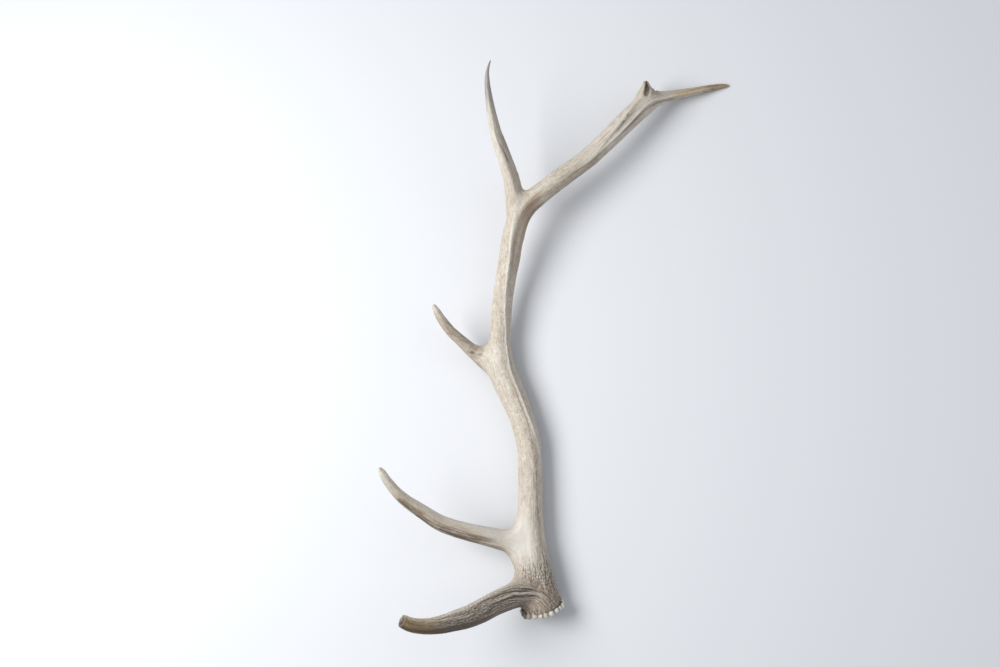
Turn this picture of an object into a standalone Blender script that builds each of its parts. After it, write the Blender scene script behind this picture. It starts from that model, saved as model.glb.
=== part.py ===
"""Shed antler of a large deer, lying on its outer side with the tines pointing up.

The antler grew as one bone. It is modelled as one continuous skin of tapered
round limbs and is then parted by thin saw lines at the main forks, so that
each limb is a solid of its own. Z is up, Y runs from the burr to the top of
the beam, and the origin is under the middle of the bounding box.
"""
import math

import bmesh
import bpy
from mathutils import Matrix, Vector

MM = 0.001

# ---------------------------------------------------------------- driving sizes
KERF = 0.3 * MM            # gap left by each saw line
FLOOR_BITE = 1.2 * MM      # depth of the small worn flats where the bone rests
SKIN_STEP = 1.5 * MM       # size of the skin's cells before it is thinned out
SKIN_TRIANGLES = 7800      # triangles kept on the whole antler
LIMB_SIDES = 8             # bevel resolution of a limb (20 sides)
RING_STEP = 5.0 * MM       # spacing of a limb's rings

BURR_RADIUS = 30.0 * MM    # middle circle of the ring of pearls
BURR_PEARLS = 17
PEARL_RADIUS = 5.0 * MM
BURR_CENTRE = (-43.5, -417.5, 30.5)
BURR_NORMAL = (-0.153, 0.893, 0.422)
SEAL_RADIUS = 27.0 * MM    # rough dome on the shed face, inside the ring
SEAL_BULGE = 7.0 * MM

# Limb stations: x, y, z of the axis and the limb's radius, in millimetres.
BEAM = [
    (-43.5, -417.5, 30.5, 29.0), (-47, -402, 29.5, 28.6), (-52, -375.5, 31, 26.0),
    (-55.5, -343.5, 31.5, 23.9), (-60, -312, 30.5, 21.9), (-62, -280, 30.5, 21),
    (-62, -247.5, 29.5, 20.1), (-63, -179, 27, 19.6), (-66.5, -149.5, 26.5, 19.8),
    (-75.5, -116, 26.5, 20.2), (-88, -82.5, 27, 21), (-101, -50.5, 28, 21.5),
    (-109, -25, 29, 20.6), (-112, 2, 31.5, 18.8), (-112, 27, 34, 17.3),
    (-105.5, 85, 43.5, 16.5), (-99, 117.5, 51, 16.8), (-91, 149.5, 59, 17.7),
    (-83.5, 181.5, 67.5, 18.2), (-71, 214.5, 76.5, 18.7), (-57, 235, 79.5, 18.3),
    (-40, 249.5, 79.5, 17.6), (-22, 263, 78, 16.8), (11, 288.5, 73, 16.5),
    (44, 313.5, 66.5, 16), (78.5, 346.5, 60, 16.5), (112, 380.5, 54, 17.3),
    (139, 406, 48, 17.6), (156, 416.6, 42.5, 13.8), (168, 420.8, 38, 11.4), (184, 425.4, 32.3, 9.3),
    (216, 432.9, 22, 7.4), (249.5, 441.9, 11.5, 5.4), (266, 445.2, 6.6, 4.3), (276.2, 446, 3.8, 2.6),
]
STUB = [(137, 405, 48, 15.5), (140.6, 421, 52.5, 12.6), (143.2, 432, 56, 8.9), (144.6, 440.2, 58.5, 5)]
ROYAL = [
    (-73, 209.5, 76, 15.8), (-74.5, 231.5, 83, 15.5), (-74.5, 252, 91, 14.8),
    (-76.3, 274.5, 101.5, 13.6), (-79.4, 289.5, 109, 12.8), (-83.3, 304.5, 117, 12.1),
    (-87.6, 319.5, 125, 11.4), (-92.2, 335.5, 134, 10.6), (-95.3, 349, 141, 9.3),
    (-99, 378.5, 155, 7.5), (-101, 408, 168, 5.3), (-101, 423, 173.5, 4.1),
    (-99.7, 435, 177.5, 2.8), (-97.2, 444.2, 179.8, 2.2), (-94, 453, 181, 1.8),
]
TREZ = [
    (-113.5, -33, 17, 18.5), (-134, -17, 21, 16.5), (-151, -3.7, 30.5, 13.8),
    (-161.9, 4.2, 39.5, 11.2), (-174.9, 17.2, 52.5, 9.5), (-188.9, 31.3, 66.5, 8.6),
    (-201.2, 49.2, 79.5, 7.3), (-207.3, 61.6, 86.5, 5.8), (-211, 69.5, 90, 3.8),
]
BEZ = [
    (-69, -326.5, 25.5, 19.5), (-92.5, -316, 37, 17.8), (-115.5, -309.5, 50, 16.1),
    (-133.5, -305, 61, 15), (-155, -299.5, 74, 14.1), (-177.5, -292.5, 87.5, 13.4),
    (-199.5, -283, 100.5, 12.6), (-227, -263, 120.5, 10.8), (-241, -252.5, 130.5, 9.8),
    (-254.5, -238.8, 141.5, 7.8), (-267, -220.8, 152, 6.1), (-273.5, -208, 158, 4.9),
    (-276.5, -202.5, 161, 3.2),
]
BROW = [
    (-51.5, -391, 32, 22.5), (-72, -393, 50, 22.3), (-91.5, -400, 70, 20.7),
    (-108.5, -408.5, 89, 19.6), (-126.5, -420, 108.5, 19.1), (-143.5, -429, 128.5, 17.2),
    (-159, -435, 147, 15.1), (-175.5, -439.5, 163.5, 13.2), (-194, -441, 179, 11.7),
    (-211.5, -438.5, 193, 10.8), (-224, -432, 203, 9.6),
]
# Webs that fill the crotches of the forks, in the same form.
WEBS = [
    [(-104, -303, 45, 9), (-84, -291, 37.5, 11), (-68, -262, 31, 13)],
    [(-100, -322, 42, 11), (-80, -337, 36, 13), (-66, -356, 32, 15)],
    [(-142, -19, 25, 10), (-124, -42, 22, 13.5), (-109, -66, 25, 15), (-97, -88, 27, 12)],
    [(-140, -1, 27, 9), (-125, 14, 30, 10), (-115, 38, 36, 11)],
    [(-73, 256, 91, 8), (-57, 250, 86, 9), (-36, 259, 80, 9)],
    [(-100, -392, 72, 12), (-78, -376, 50, 15), (-60, -350, 34, 17)],
]

# Saw lines: limb, distance along it from its first station, half width (mm).
SAWS = {
    "brow": (BROW, 64.0, 27.0),
    "bez": (BEZ, 57.0, 23.5),
    "lower": (BEAM, 176.0, 27.0),
    "trez": (TREZ, 56.0, 19.0),
    "middle": (BEAM, 452.0, 24.0),
    "royal": (ROYAL, 62.0, 19.5),
    "upper": (BEAM, 737.0, 23.0),
    "stub": (STUB, 27.5, 12.5),
    "terminal": (BEAM, 972.0, 16.5),
}

# Each piece: a point inside it (mm) and its colour, roughness.
PIECES = {
    "antler_base": ((-56, -343, 31), (0.42, 0.36, 0.27), 0.72),
    "brow_tine": ((-160, -435, 147), (0.26, 0.21, 0.15), 0.62),
    "bez_tine": ((-177, -292, 87), (0.40, 0.34, 0.25), 0.62),
    "beam_lower": ((-63, -179, 27), (0.52, 0.46, 0.35), 0.70),
    "trez_tine": ((-187, 33, 66), (0.46, 0.40, 0.29), 0.60),
    "beam_middle": ((-99, 117, 51), (0.53, 0.47, 0.36), 0.70),
    "royal_tine": ((-92, 336, 134), (0.55, 0.50, 0.40), 0.60),
    "beam_upper": ((44, 313, 66), (0.53, 0.47, 0.37), 0.70),
    "crown_stub": ((146, 438, 57), (0.22, 0.17, 0.12), 0.80),
    "terminal_tine": ((216, 431, 22), (0.45, 0.38, 0.25), 0.60),
}


def clear_scene():
    for ob in list(bpy.data.objects):
        bpy.data.objects.remove(ob, do_unlink=True)
    for col in list(bpy.data.collections):
        bpy.data.collections.remove(col)


def new_collection(name):
    col = bpy.data.collections.new(name)
    bpy.context.scene.collection.children.link(col)
    return col


def smooth_run(stations, step):
    """Points evenly spaced along a smooth curve through the stations, in metres."""
    pts = [Vector((x, y, z, r)) * MM for x, y, z, r in stations]
    ext = [2 * pts[0] - pts[1]] + pts + [2 * pts[-1] - pts[-2]]
    fine = []
    for i in range(1, len(ext) - 2):
        p0, p1, p2, p3 = ext[i - 1:i + 3]
        for k in range(16):
            t = k / 16.0
            fine.append(0.5 * ((2 * p1) + (p2 - p0) * t + (2 * p0 - 5 * p1 + 4 * p2 - p3) * t * t
                               + (3 * p1 - p0 - 3 * p2 + p3) * t * t * t))
    fine.append(pts[-1])
    run, total = [0.0], 0.0
    for a, b in zip(fine, fine[1:]):
        total += (b.xyz - a.xyz).length
        run.append(total)
    count = max(2, int(round(total / step)))
    out, j = [], 0
    for k in range(count + 1):
        d = total * k / count
        while j < len(run) - 2 and run[j + 1] < d:
            j += 1
        f = (d - run[j]) / max(run[j + 1] - run[j], 1e-9)
        out.append(fine[j].lerp(fine[j + 1], min(max(f, 0.0), 1.0)))
    return out, total


def place_on(stations, distance):
    """Point and direction at a distance (mm) along a limb."""
    pts, total = smooth_run(stations, 1.0 * MM)
    k = min(max(int(round(distance * MM / total * (len(pts) - 1))), 1), len(pts) - 2)
    return pts[k].xyz.copy(), (pts[k + 1].xyz - pts[k - 1].xyz).normalized()


def limb(name, stations, col):
    """Tapered round limb: a curve with a bevel and filled caps."""
    pts, _ = smooth_run(stations, RING_STEP)
    cu = bpy.data.curves.new(name, "CURVE")
    cu.dimensions = "3D"
    cu.bevel_depth = 1.0
    cu.bevel_resolution = LIMB_SIDES
    cu.use_fill_caps = True
    sp = cu.splines.new("POLY")
    sp.points.add(len(pts) - 1)
    for point, p in zip(sp.points, pts):
        point.co = (p.x, p.y, p.z, 1.0)
        point.radius = max(p.w, 0.4 * MM)
    ob = bpy.data.objects.new(name, cu)
    col.objects.link(ob)
    return ob


def to_mesh(ob, col):
    """The evaluated shape of an object as a mesh of its own, caps welded."""
    bpy.context.view_layer.update()
    dg = bpy.context.evaluated_depsgraph_get()
    me = bpy.data.meshes.new_from_object(ob.evaluated_get(dg))
    bm = bmesh.new()
    bm.from_mesh(me)
    bmesh.ops.remove_doubles(bm, verts=bm.verts, dist=1e-6)
    bmesh.ops.recalc_face_normals(bm, faces=bm.faces)
    bm.to_mesh(me)
    bm.free()
    new = bpy.data.objects.new(ob.name + "_mesh", me)
    new.matrix_world = ob.matrix_world
    col.objects.link(new)
    bpy.data.objects.remove(ob, do_unlink=True)
    return new


def frame_on(centre, normal):
    """Matrix whose Z axis is the normal."""
    return Matrix.Translation(centre) @ Vector(normal).normalized().to_track_quat("Z", "Y").to_matrix().to_4x4()


def ball(name, centre, radii, frame, col, rings=10):
    bm = bmesh.new()
    bmesh.ops.create_uvsphere(bm, u_segments=2 * rings, v_segments=rings, radius=1.0)
    bmesh.ops.scale(bm, vec=radii, verts=bm.verts)
    bmesh.ops.translate(bm, vec=centre, verts=bm.verts)
    bmesh.ops.transform(bm, matrix=frame, verts=bm.verts)
    me = bpy.data.meshes.new(name)
    bm.to_mesh(me)
    bm.free()
    ob = bpy.data.objects.new(name, me)
    col.objects.link(ob)
    return ob


def burr(col):
    """Ring of pearls round the foot of the beam, with the domed shed face inside it."""
    frame = frame_on(Vector(BURR_CENTRE) * MM, BURR_NORMAL)
    out = []
    bpy.ops.mesh.primitive_torus_add(major_radius=BURR_RADIUS, minor_radius=0.8 * PEARL_RADIUS,
                                     major_segments=48, minor_segments=12)
    ring = bpy.context.object
    ring.name = "burr_ring"
    ring.data.transform(frame)
    for c in list(ring.users_collection):
        c.objects.unlink(ring)
    col.objects.link(ring)
    out.append(ring)
    for k in range(BURR_PEARLS):
        a = 2 * math.pi * (k + 0.22 * math.sin(2.3 * k)) / BURR_PEARLS
        size = PEARL_RADIUS * (1.0 + 0.16 * math.sin(1.7 * k + 0.6))
        centre = Vector((BURR_RADIUS * math.cos(a), BURR_RADIUS * math.sin(a), 0.8 * MM * math.sin(3.1 * k)))
        out.append(ball("pearl_%02d" % k, centre, (size, size, size * 1.15), frame, col, 8))
    out.append(ball("seal", Vector((0, 0, -1.0 * MM)), (SEAL_RADIUS, SEAL_RADIUS, SEAL_BULGE), frame, col, 12))
    return out


def join(objects, name, col):
    """One object that holds several overlapping closed shapes."""
    bm = bmesh.new()
    for ob in objects:
        me = ob.data.copy()
        me.transform(ob.matrix_world)
        bm.from_mesh(me)
        bpy.data.meshes.remove(me)
        bpy.data.objects.remove(ob, do_unlink=True)
    me = bpy.data.meshes.new(name)
    bm.to_mesh(me)
    bm.free()
    ob = bpy.data.objects.new(name, me)
    col.objects.link(ob)
    return ob


def make_skin(work):
    """All limbs as one closed skin with filled crotches."""
    limbs = [("beam", BEAM), ("stub", STUB), ("royal", ROYAL), ("trez", TREZ), ("bez", BEZ), ("brow", BROW)]
    limbs += [("web_%d" % i, w) for i, w in enumerate(WEBS)]
    shapes = [to_mesh(limb(n, s, work), work) for n, s in limbs] + burr(work)
    skin = join(shapes, "skin", work)
    skin.data.transform(Matrix.Translation((0, 0, -FLOOR_BITE)))
    mod = skin.modifiers.new("Remesh", "REMESH")
    mod.mode = "VOXEL"
    mod.voxel_size = SKIN_STEP
    skin = to_mesh(skin, work)
    mod = skin.modifiers.new("Smooth", "SMOOTH")
    mod.factor = 0.5
    mod.iterations = 7
    skin = to_mesh(skin, work)
    count = sum(len(p.vertices) - 2 for p in skin.data.polygons)
    mod = skin.modifiers.new("Decimate", "DECIMATE")
    mod.decimate_type = "COLLAPSE"
    mod.ratio = SKIN_TRIANGLES / count
    mod.use_collapse_triangulate = True
    return to_mesh(skin, work)


def make_cutters(col):
    """The floor's block and one thin disc for each saw line, as one cutter."""
    tools = []
    bm = bmesh.new()
    bmesh.ops.create_cube(bm, size=1.0)
    bmesh.ops.scale(bm, vec=(1.2, 1.6, 0.05), verts=bm.verts)
    bmesh.ops.translate(bm, vec=(0, 0, -0.025), verts=bm.verts)
    me = bpy.data.meshes.new("floor_block")
    bm.to_mesh(me)
    bm.free()
    floor = bpy.data.objects.new("floor_block", me)
    col.objects.link(floor)
    tools.append(floor)
    for name, (stations, distance, half) in SAWS.items():
        centre, direction = place_on(stations, distance)
        centre.z -= FLOOR_BITE
        bm = bmesh.new()
        bmesh.ops.create_cone(bm, cap_ends=True, segments=40, radius1=half * MM, radius2=half * MM, depth=KERF)
        bmesh.ops.transform(bm, matrix=frame_on(centre, direction), verts=bm.verts)
        me = bpy.data.meshes.new("saw_" + name)
        bm.to_mesh(me)
        bm.free()
        saw = bpy.data.objects.new("saw_" + name, me)
        col.objects.link(saw)
        tools.append(saw)
    for ob in tools:
        ob.hide_render = True
        ob.display_type = "WIRE"
    return tools


def cut(ob, tools, work):
    for tool in tools:
        mod = ob.modifiers.new(tool.name, "BOOLEAN")
        mod.operation = "DIFFERENCE"
        mod.solver = "EXACT"
        mod.object = tool
    return to_mesh(ob, work)


def loose_parts(ob):
    """Vertex sets of the object's separate bodies."""
    bm = bmesh.new()
    bm.from_mesh(ob.data)
    bm.verts.ensure_lookup_table()
    seen, parts = set(), []
    for start in bm.verts:
        if start.index in seen:
            continue
        stack, found = [start], set()
        seen.add(start.index)
        while stack:
            v = stack.pop()
            found.add(v.index)
            for e in v.link_edges:
                w = e.other_vert(v)
                if w.index not in seen:
                    seen.add(w.index)
                    stack.append(w)
        parts.append(found)
    bm.free()
    return parts


def body_from(ob, keep, name, col):
    bm = bmesh.new()
    bm.from_mesh(ob.data)
    bm.verts.ensure_lookup_table()
    bmesh.ops.delete(bm, geom=[v for v in bm.verts if v.index not in keep], context="VERTS")
    bmesh.ops.dissolve_degenerate(bm, edges=bm.edges, dist=2e-5)
    bmesh.ops.triangulate(bm, faces=bm.faces)
    me = bpy.data.meshes.new(name)
    bm.to_mesh(me)
    bm.free()
    me.shade_smooth()
    me.set_sharp_from_angle(angle=math.radians(50))
    new = bpy.data.objects.new(name, me)
    col.objects.link(new)
    return new


def bone_material(name, colour, roughness):
    mat = bpy.data.materials.new(name)
    mat.use_nodes = True
    shader = mat.node_tree.nodes["Principled BSDF"]
    shader.inputs["Base Color"].default_value = (*colour, 1.0)
    shader.inputs["Roughness"].default_value = roughness
    shader.inputs["Metallic"].default_value = 0.0
    return mat


def main():
    clear_scene()
    antler = new_collection("deer_antler")
    cutters = new_collection("cutters")
    work = new_collection("work")
    tools = make_cutters(cutters)
    whole = cut(make_skin(work), tools, work)
    parts = [p for p in loose_parts(whole) if len(p) > 20]
    verts = whole.data.vertices
    for name, (probe, colour, roughness) in PIECES.items():
        at = Vector(probe) * MM
        best = min(parts, key=lambda p: min((verts[i].co - at).length_squared for i in p))
        ob = body_from(whole, best, name, antler)
        ob.data.materials.append(bone_material(name, colour, roughness))
    bpy.data.objects.remove(whole, do_unlink=True)
    bpy.data.collections.remove(work)


main()
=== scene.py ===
"""Looks of the shed antler: one continuous carved skin, cut at the CAD's saw lines, with procedural bone materials."""
import math

import bmesh
import bpy
import numpy as np
from mathutils import Matrix, Vector


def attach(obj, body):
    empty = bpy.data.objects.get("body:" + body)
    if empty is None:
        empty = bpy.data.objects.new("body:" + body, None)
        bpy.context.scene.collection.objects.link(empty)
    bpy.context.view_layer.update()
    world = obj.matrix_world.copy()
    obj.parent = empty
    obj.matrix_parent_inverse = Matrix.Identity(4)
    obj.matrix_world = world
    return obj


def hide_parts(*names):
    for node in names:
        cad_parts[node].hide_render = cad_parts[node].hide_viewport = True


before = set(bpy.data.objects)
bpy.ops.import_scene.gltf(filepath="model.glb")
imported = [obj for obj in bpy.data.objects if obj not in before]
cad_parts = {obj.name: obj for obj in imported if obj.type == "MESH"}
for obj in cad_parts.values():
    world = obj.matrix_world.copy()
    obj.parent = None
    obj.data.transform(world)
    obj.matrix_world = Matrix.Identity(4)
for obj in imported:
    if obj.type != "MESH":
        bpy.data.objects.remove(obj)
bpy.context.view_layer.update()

VOXEL = 0.85         # size of the skin's cells, mm
FLOOR_BITE = 1.2                            # the worn flats that the antler rests on, mm

# ------------------------------------------------------------------ shape of the limbs
# x, y, z of the axis and the radius, in millimetres; the CAD has the same limbs to within 1 to 2 mm.
BEAM = [
    (-43.5, -417.5, 30.5, 30.3), (-46.5, -402, 30.2, 29.2), (-51.5, -375.5, 31, 27.0),
    (-55.5, -343.5, 31.5, 24.1), (-60, -312, 30.5, 21.9), (-62, -280, 30.5, 21),
    (-62, -247.5, 29.5, 20.1), (-63, -179, 27, 19.7), (-66.5, -149.5, 26.5, 20.0),
    (-75.5, -116, 26.5, 20.4), (-88, -82.5, 27, 21.4), (-101, -50.5, 28, 21.7),
    (-109, -25, 29, 20.6), (-112, 2, 31.5, 18.8), (-112, 27, 34, 17.3),
    (-105.5, 85, 43.5, 16.5), (-99, 117.5, 51, 16.8), (-91, 149.5, 59, 17.7),
    (-83.5, 181.5, 67.5, 18.2), (-71, 214.5, 76.5, 18.7), (-57, 235, 79.5, 18.3),
    (-40, 249.5, 79.5, 17.6), (-22, 263, 78, 16.8), (11, 288.5, 73, 16.5),
    (44, 313.5, 66.5, 16), (78.5, 346.5, 60, 16.5), (112, 380.5, 54, 17.3),
    (139, 406, 48, 17.6), (156, 416.6, 42.5, 13.8), (168, 420.8, 38, 11.4), (184, 425.4, 32.3, 9.3),
    (216, 432.9, 22, 7.4), (249.5, 441.9, 11.5, 5.4), (266, 445.2, 6.6, 4.3), (276.2, 446.0, 3.8, 2.6),
]
STUB = [(137, 405, 48, 15.5), (141, 421, 52.5, 13.1), (144, 431.6, 56, 9.8), (145.2, 439.6, 58.5, 5.8)]
ROYAL = [
    (-73, 209.5, 76, 15.8), (-74.5, 231.5, 83, 15.5), (-74.5, 252, 91, 14.8),
    (-76.3, 274.5, 101.5, 13.6), (-79.4, 289.5, 109, 12.8), (-83.3, 304.5, 117, 12.1), (-87.6, 319.5, 125, 11.4),
    (-92.2, 335.5, 134, 10.6), (-95.3, 349, 141, 9.3), (-99, 378.5, 155, 7.5),
    (-101, 408, 168, 5.3), (-101, 423, 173.5, 4.1), (-99.7, 435, 177.5, 2.8),
    (-97.2, 444.2, 179.8, 1.9), (-94, 453, 181, 1.1),
]
TREZ = [
    (-113.5, -33, 17, 18.5), (-134, -17, 21, 16.5), (-151, -3.7, 30.5, 13.8),
    (-161.9, 4.2, 39.5, 11.2), (-174.9, 17.2, 52.5, 9.5), (-188.9, 31.3, 66.5, 8.6),
    (-201.2, 49.2, 79.5, 7.3), (-207.3, 61.6, 86.5, 5.8), (-211, 69.5, 90, 3.8),
]
BEZ = [
    (-69, -326.5, 25.5, 19.5), (-92.5, -316, 37, 17.8), (-115.5, -309.5, 50, 16.1),
    (-133.5, -305, 61, 15), (-155, -299.5, 74, 14.1), (-177.5, -292.5, 87.5, 13.4),
    (-199.5, -283, 100.5, 12.6), (-227, -263, 120.5, 10.8), (-241, -252.5, 130.5, 9.8),
    (-254.5, -238.8, 141.5, 8.4), (-267, -220.8, 152, 7.0), (-273.3, -208.4, 157.8, 5.5), (-276, -203.6, 160.4, 3.7),
]
BROW = [
    (-51.5, -391, 32, 22.5), (-72, -395, 50, 21.1), (-91.5, -402.5, 70, 19.3),
    (-108.5, -411, 89, 18.4), (-126.5, -422, 108.5, 18.2), (-143.5, -430.2, 128.5, 16.8),
    (-159, -435, 147, 15.1), (-175.5, -439.5, 163.5, 13.2), (-194, -441, 179, 11.7),
    (-211.5, -438.5, 193, 10.8), (-224, -432, 203, 9.6),
]
LIMBS = {"beam": BEAM, "stub": STUB, "royal": ROYAL, "trez": TREZ, "bez": BEZ, "brow": BROW}
# Webs in the crotches.
WEBS = [
    [(-104, -303, 45, 9), (-84, -291, 37.5, 11), (-68, -262, 31, 13)],
    [(-100, -322, 42, 11), (-80, -337, 36, 13), (-66, -356, 32, 15)],
    [(-142, -19, 25, 10), (-124, -42, 22, 13.5), (-109, -66, 25, 15), (-97, -88, 27, 12)],
    [(-140, -1, 27, 9), (-125, 14, 30, 10), (-115, 38, 36, 11)],
    [(-73, 256, 91, 8), (-57, 250, 86, 9), (-36, 259, 80, 9)],
    [(-100, -396, 72, 8.5), (-78, -378, 50, 10.5), (-60, -352, 34, 13.5)],
]
# The way the grain runs: up from the ring of pearls, round over the foot and out along the brow tine.
SWIRL = [
    (-26, -441, 33, 10), (-30.5, -431, 38, 14), (-36, -417, 42, 18), (-45, -405, 46, 20), (-58, -400, 50, 21),
    (-75, -401, 57, 21), (-91.5, -403.5, 70, 19.6), (-108.5, -411, 89, 18.4), (-126.5, -422, 108.5, 18.2),
    (-143.5, -430.2, 128.5, 16.8), (-159, -435, 147, 15.1), (-175.5, -439.5, 163.5, 13.2),
    (-194, -441, 179, 11.7), (-211.5, -438.5, 193, 10.8), (-224, -432, 203, 9.6),
]
SAWS = {  # limb, distance along it, half width
    "brow": ("brow", 64.0, 30.0), "bez": ("bez", 57.0, 27.0), "lower": ("beam", 176.0, 30.0),
    "trez": ("trez", 56.0, 22.0), "middle": ("beam", 452.0, 27.0), "royal": ("royal", 62.0, 22.0),
    "upper": ("beam", 737.0, 26.0), "stub": ("stub", 27.5, 14.0), "terminal": ("beam", 972.0, 19.0),
}
BURR_C = np.array((-43.5, -417.5, 30.5))
BURR_N = np.array((-0.153, 0.893, 0.422))
BURR_N /= np.linalg.norm(BURR_N)
CAM_DIR = np.array((0.22265, -0.18174, 0.95781))   # towards the camera
CAM_POS = np.array((328.2, -329.4, 1926.7))
CAM_UP = np.array((0.0412, 0.9833, 0.1770))
CAM_RIGHT = np.array((0.9740, 0.0, -0.2264))


# ------------------------------------------------------------------ numbers
def smooth_run(stations, step):
    P = np.array(stations, float)
    ext = np.vstack([2 * P[:1] - P[1:2], P, 2 * P[-1:] - P[-2:-1]])
    t = (np.arange(16) / 16.0)[:, None]
    segs = []
    for i in range(1, len(ext) - 2):
        p0, p1, p2, p3 = ext[i - 1:i + 3]
        segs.append(0.5 * ((2 * p1) + (p2 - p0) * t + (2 * p0 - 5 * p1 + 4 * p2 - p3) * t ** 2
                           + (3 * p1 - p0 - 3 * p2 + p3) * t ** 3))
    fine = np.vstack(segs + [P[-1:]])
    d = np.r_[0, np.cumsum(np.linalg.norm(np.diff(fine[:, :3], axis=0), axis=1))]
    n = max(2, int(round(d[-1] / step)))
    s = np.linspace(0, d[-1], n + 1)
    return s, np.stack([np.interp(s, d, fine[:, k]) for k in range(4)], -1)


def unit(v):
    return v / np.maximum(np.linalg.norm(v, axis=-1, keepdims=True), 1e-9)


class Axis:
    """A limb's axis: its samples, directions and radii, and coordinates round it."""

    def __init__(self, stations):
        self.s, q = smooth_run(stations, 1.0)
        self.p, self.r = q[:, :3], q[:, 3]
        self.t = unit(np.gradient(self.p, axis=0))
        u = CAM_DIR - (self.t @ CAM_DIR)[:, None] * self.t
        self.u = unit(u)
        self.v = np.cross(self.t, self.u)
        self.length = self.s[-1]

    def nearest(self, P):
        best = np.empty(len(P), np.int64)
        a = self.p.astype(np.float32)
        aa = (a * a).sum(1)
        for i in range(0, len(P), 20000):
            q = P[i:i + 20000].astype(np.float32)
            best[i:i + 20000] = (aa[None] - 2 * q @ a.T).argmin(1)
        return best

    def follow(self, P, k):
        """The nearest sample, found from one that was nearest a moment ago."""
        gap = self.s[1] - self.s[0]
        for _ in range(2):
            k = np.clip(k + np.rint(((P - self.p[k]) * self.t[k]).sum(1) / gap).astype(np.int64), 0, len(self.s) - 1)
        return k

    def near(self, P, k):
        """Distance along, foot point on the axis, side directions and radius there."""
        s = self.s[k] + ((P - self.p[k]) * self.t[k]).sum(1)
        f = np.clip(s / self.length * (len(self.s) - 1), 0, len(self.s) - 1.001)
        j = f.astype(int)
        w = (f - j)[:, None]
        c = self.p[j] * (1 - w) + self.p[j + 1] * w
        r = self.r[j] * (1 - w[:, 0]) + self.r[j + 1] * w[:, 0]
        return s, c, r, j, w

    def coords(self, P):
        """Distance along, angle (0 faces the camera side), distance from the axis, limb radius."""
        s, c, r, j, w = self.near(P, self.nearest(P))
        u = self.u[j] * (1 - w) + self.u[j + 1] * w
        v = self.v[j] * (1 - w) + self.v[j + 1] * w
        d = P - c
        return s, np.arctan2((d * v).sum(1), (d * u).sum(1)), np.linalg.norm(d, axis=1), r


def hash3(i, j, k, seed):
    h = (i.astype(np.uint32) * np.uint32(374761393) + j.astype(np.uint32) * np.uint32(668265263)
         + k.astype(np.uint32) * np.uint32(2246822519) + np.uint32(((seed * 3266489 + 17) * 3266489917) & 0xFFFFFFFF))
    h = (h ^ (h >> np.uint32(15))) * np.uint32(2246822519)
    h = (h ^ (h >> np.uint32(13))) * np.uint32(3266489917)
    return h ^ (h >> np.uint32(16))


GRADS = unit(np.array([(1, 1, 0), (-1, 1, 0), (1, -1, 0), (-1, -1, 0), (1, 0, 1), (-1, 0, 1), (1, 0, -1), (-1, 0, -1),
                       (0, 1, 1), (0, -1, 1), (0, 1, -1), (0, -1, -1), (1, 1, 1), (-1, 1, -1), (1, -1, -1), (-1, -1, 1)], float))


def noise(P, seed=0):
    """Gradient noise, about -1 to 1."""
    P = np.asarray(P, float) + 1000.0
    i0 = np.floor(P).astype(np.int64)
    f = P - i0
    w = f * f * f * (f * (f * 6 - 15) + 10)
    out = np.zeros(len(P))
    for a in (0, 1):
        wx = w[:, 0] if a else 1 - w[:, 0]
        for b in (0, 1):
            wy = w[:, 1] if b else 1 - w[:, 1]
            for c in (0, 1):
                wz = w[:, 2] if c else 1 - w[:, 2]
                g = GRADS[hash3(i0[:, 0] + a, i0[:, 1] + b, i0[:, 2] + c, seed) & np.uint32(15)]
                out += wx * wy * wz * (g[:, 0] * (f[:, 0] - a) + g[:, 1] * (f[:, 1] - b) + g[:, 2] * (f[:, 2] - c))
    return out * 1.7


def fbm(P, octaves=3, seed=0):
    out, amp, tot = 0.0, 1.0, 0.0
    for o in range(octaves):
        out = out + amp * noise(P * 2.0 ** o, seed + 31 * o)
        tot += amp
        amp *= 0.5
    return out / tot


def worley(P, seed=0):
    """Distance to the nearest scattered point, and that point's own random number."""
    P = np.asarray(P, float) + 1000.0
    i0 = np.floor(P).astype(np.int64)
    best = np.full(len(P), 9.0)
    tag = np.zeros(len(P))
    for a in (-1, 0, 1):
        for b in (-1, 0, 1):
            for c in (-1, 0, 1):
                i, j, k = i0[:, 0] + a, i0[:, 1] + b, i0[:, 2] + c
                h = hash3(i, j, k, seed)
                px = i + 0.15 + 0.7 * ((h & np.uint32(1023)) / 1023.0)
                py = j + 0.15 + 0.7 * (((h >> np.uint32(10)) & np.uint32(1023)) / 1023.0)
                pz = k + 0.15 + 0.7 * (((h >> np.uint32(20)) & np.uint32(1023)) / 1023.0)
                d = (P[:, 0] - px) ** 2 + (P[:, 1] - py) ** 2 + (P[:, 2] - pz) ** 2
                near = d < best
                best = np.where(near, d, best)
                tag = np.where(near, (h & np.uint32(255)) / 255.0, tag)
    return np.sqrt(best), tag


def step(x, lo, hi):
    t = np.clip((x - lo) / (hi - lo), 0, 1)
    return t * t * (3 - 2 * t)


def keys(s, table, k=1):
    """A smooth reading of column k of a small table whose first column is the distance along."""
    a = np.array(table, float)
    return np.interp(s, a[:, 0], a[:, k])


def wrap(a):
    return (a + math.pi) % (2 * math.pi) - math.pi


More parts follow.
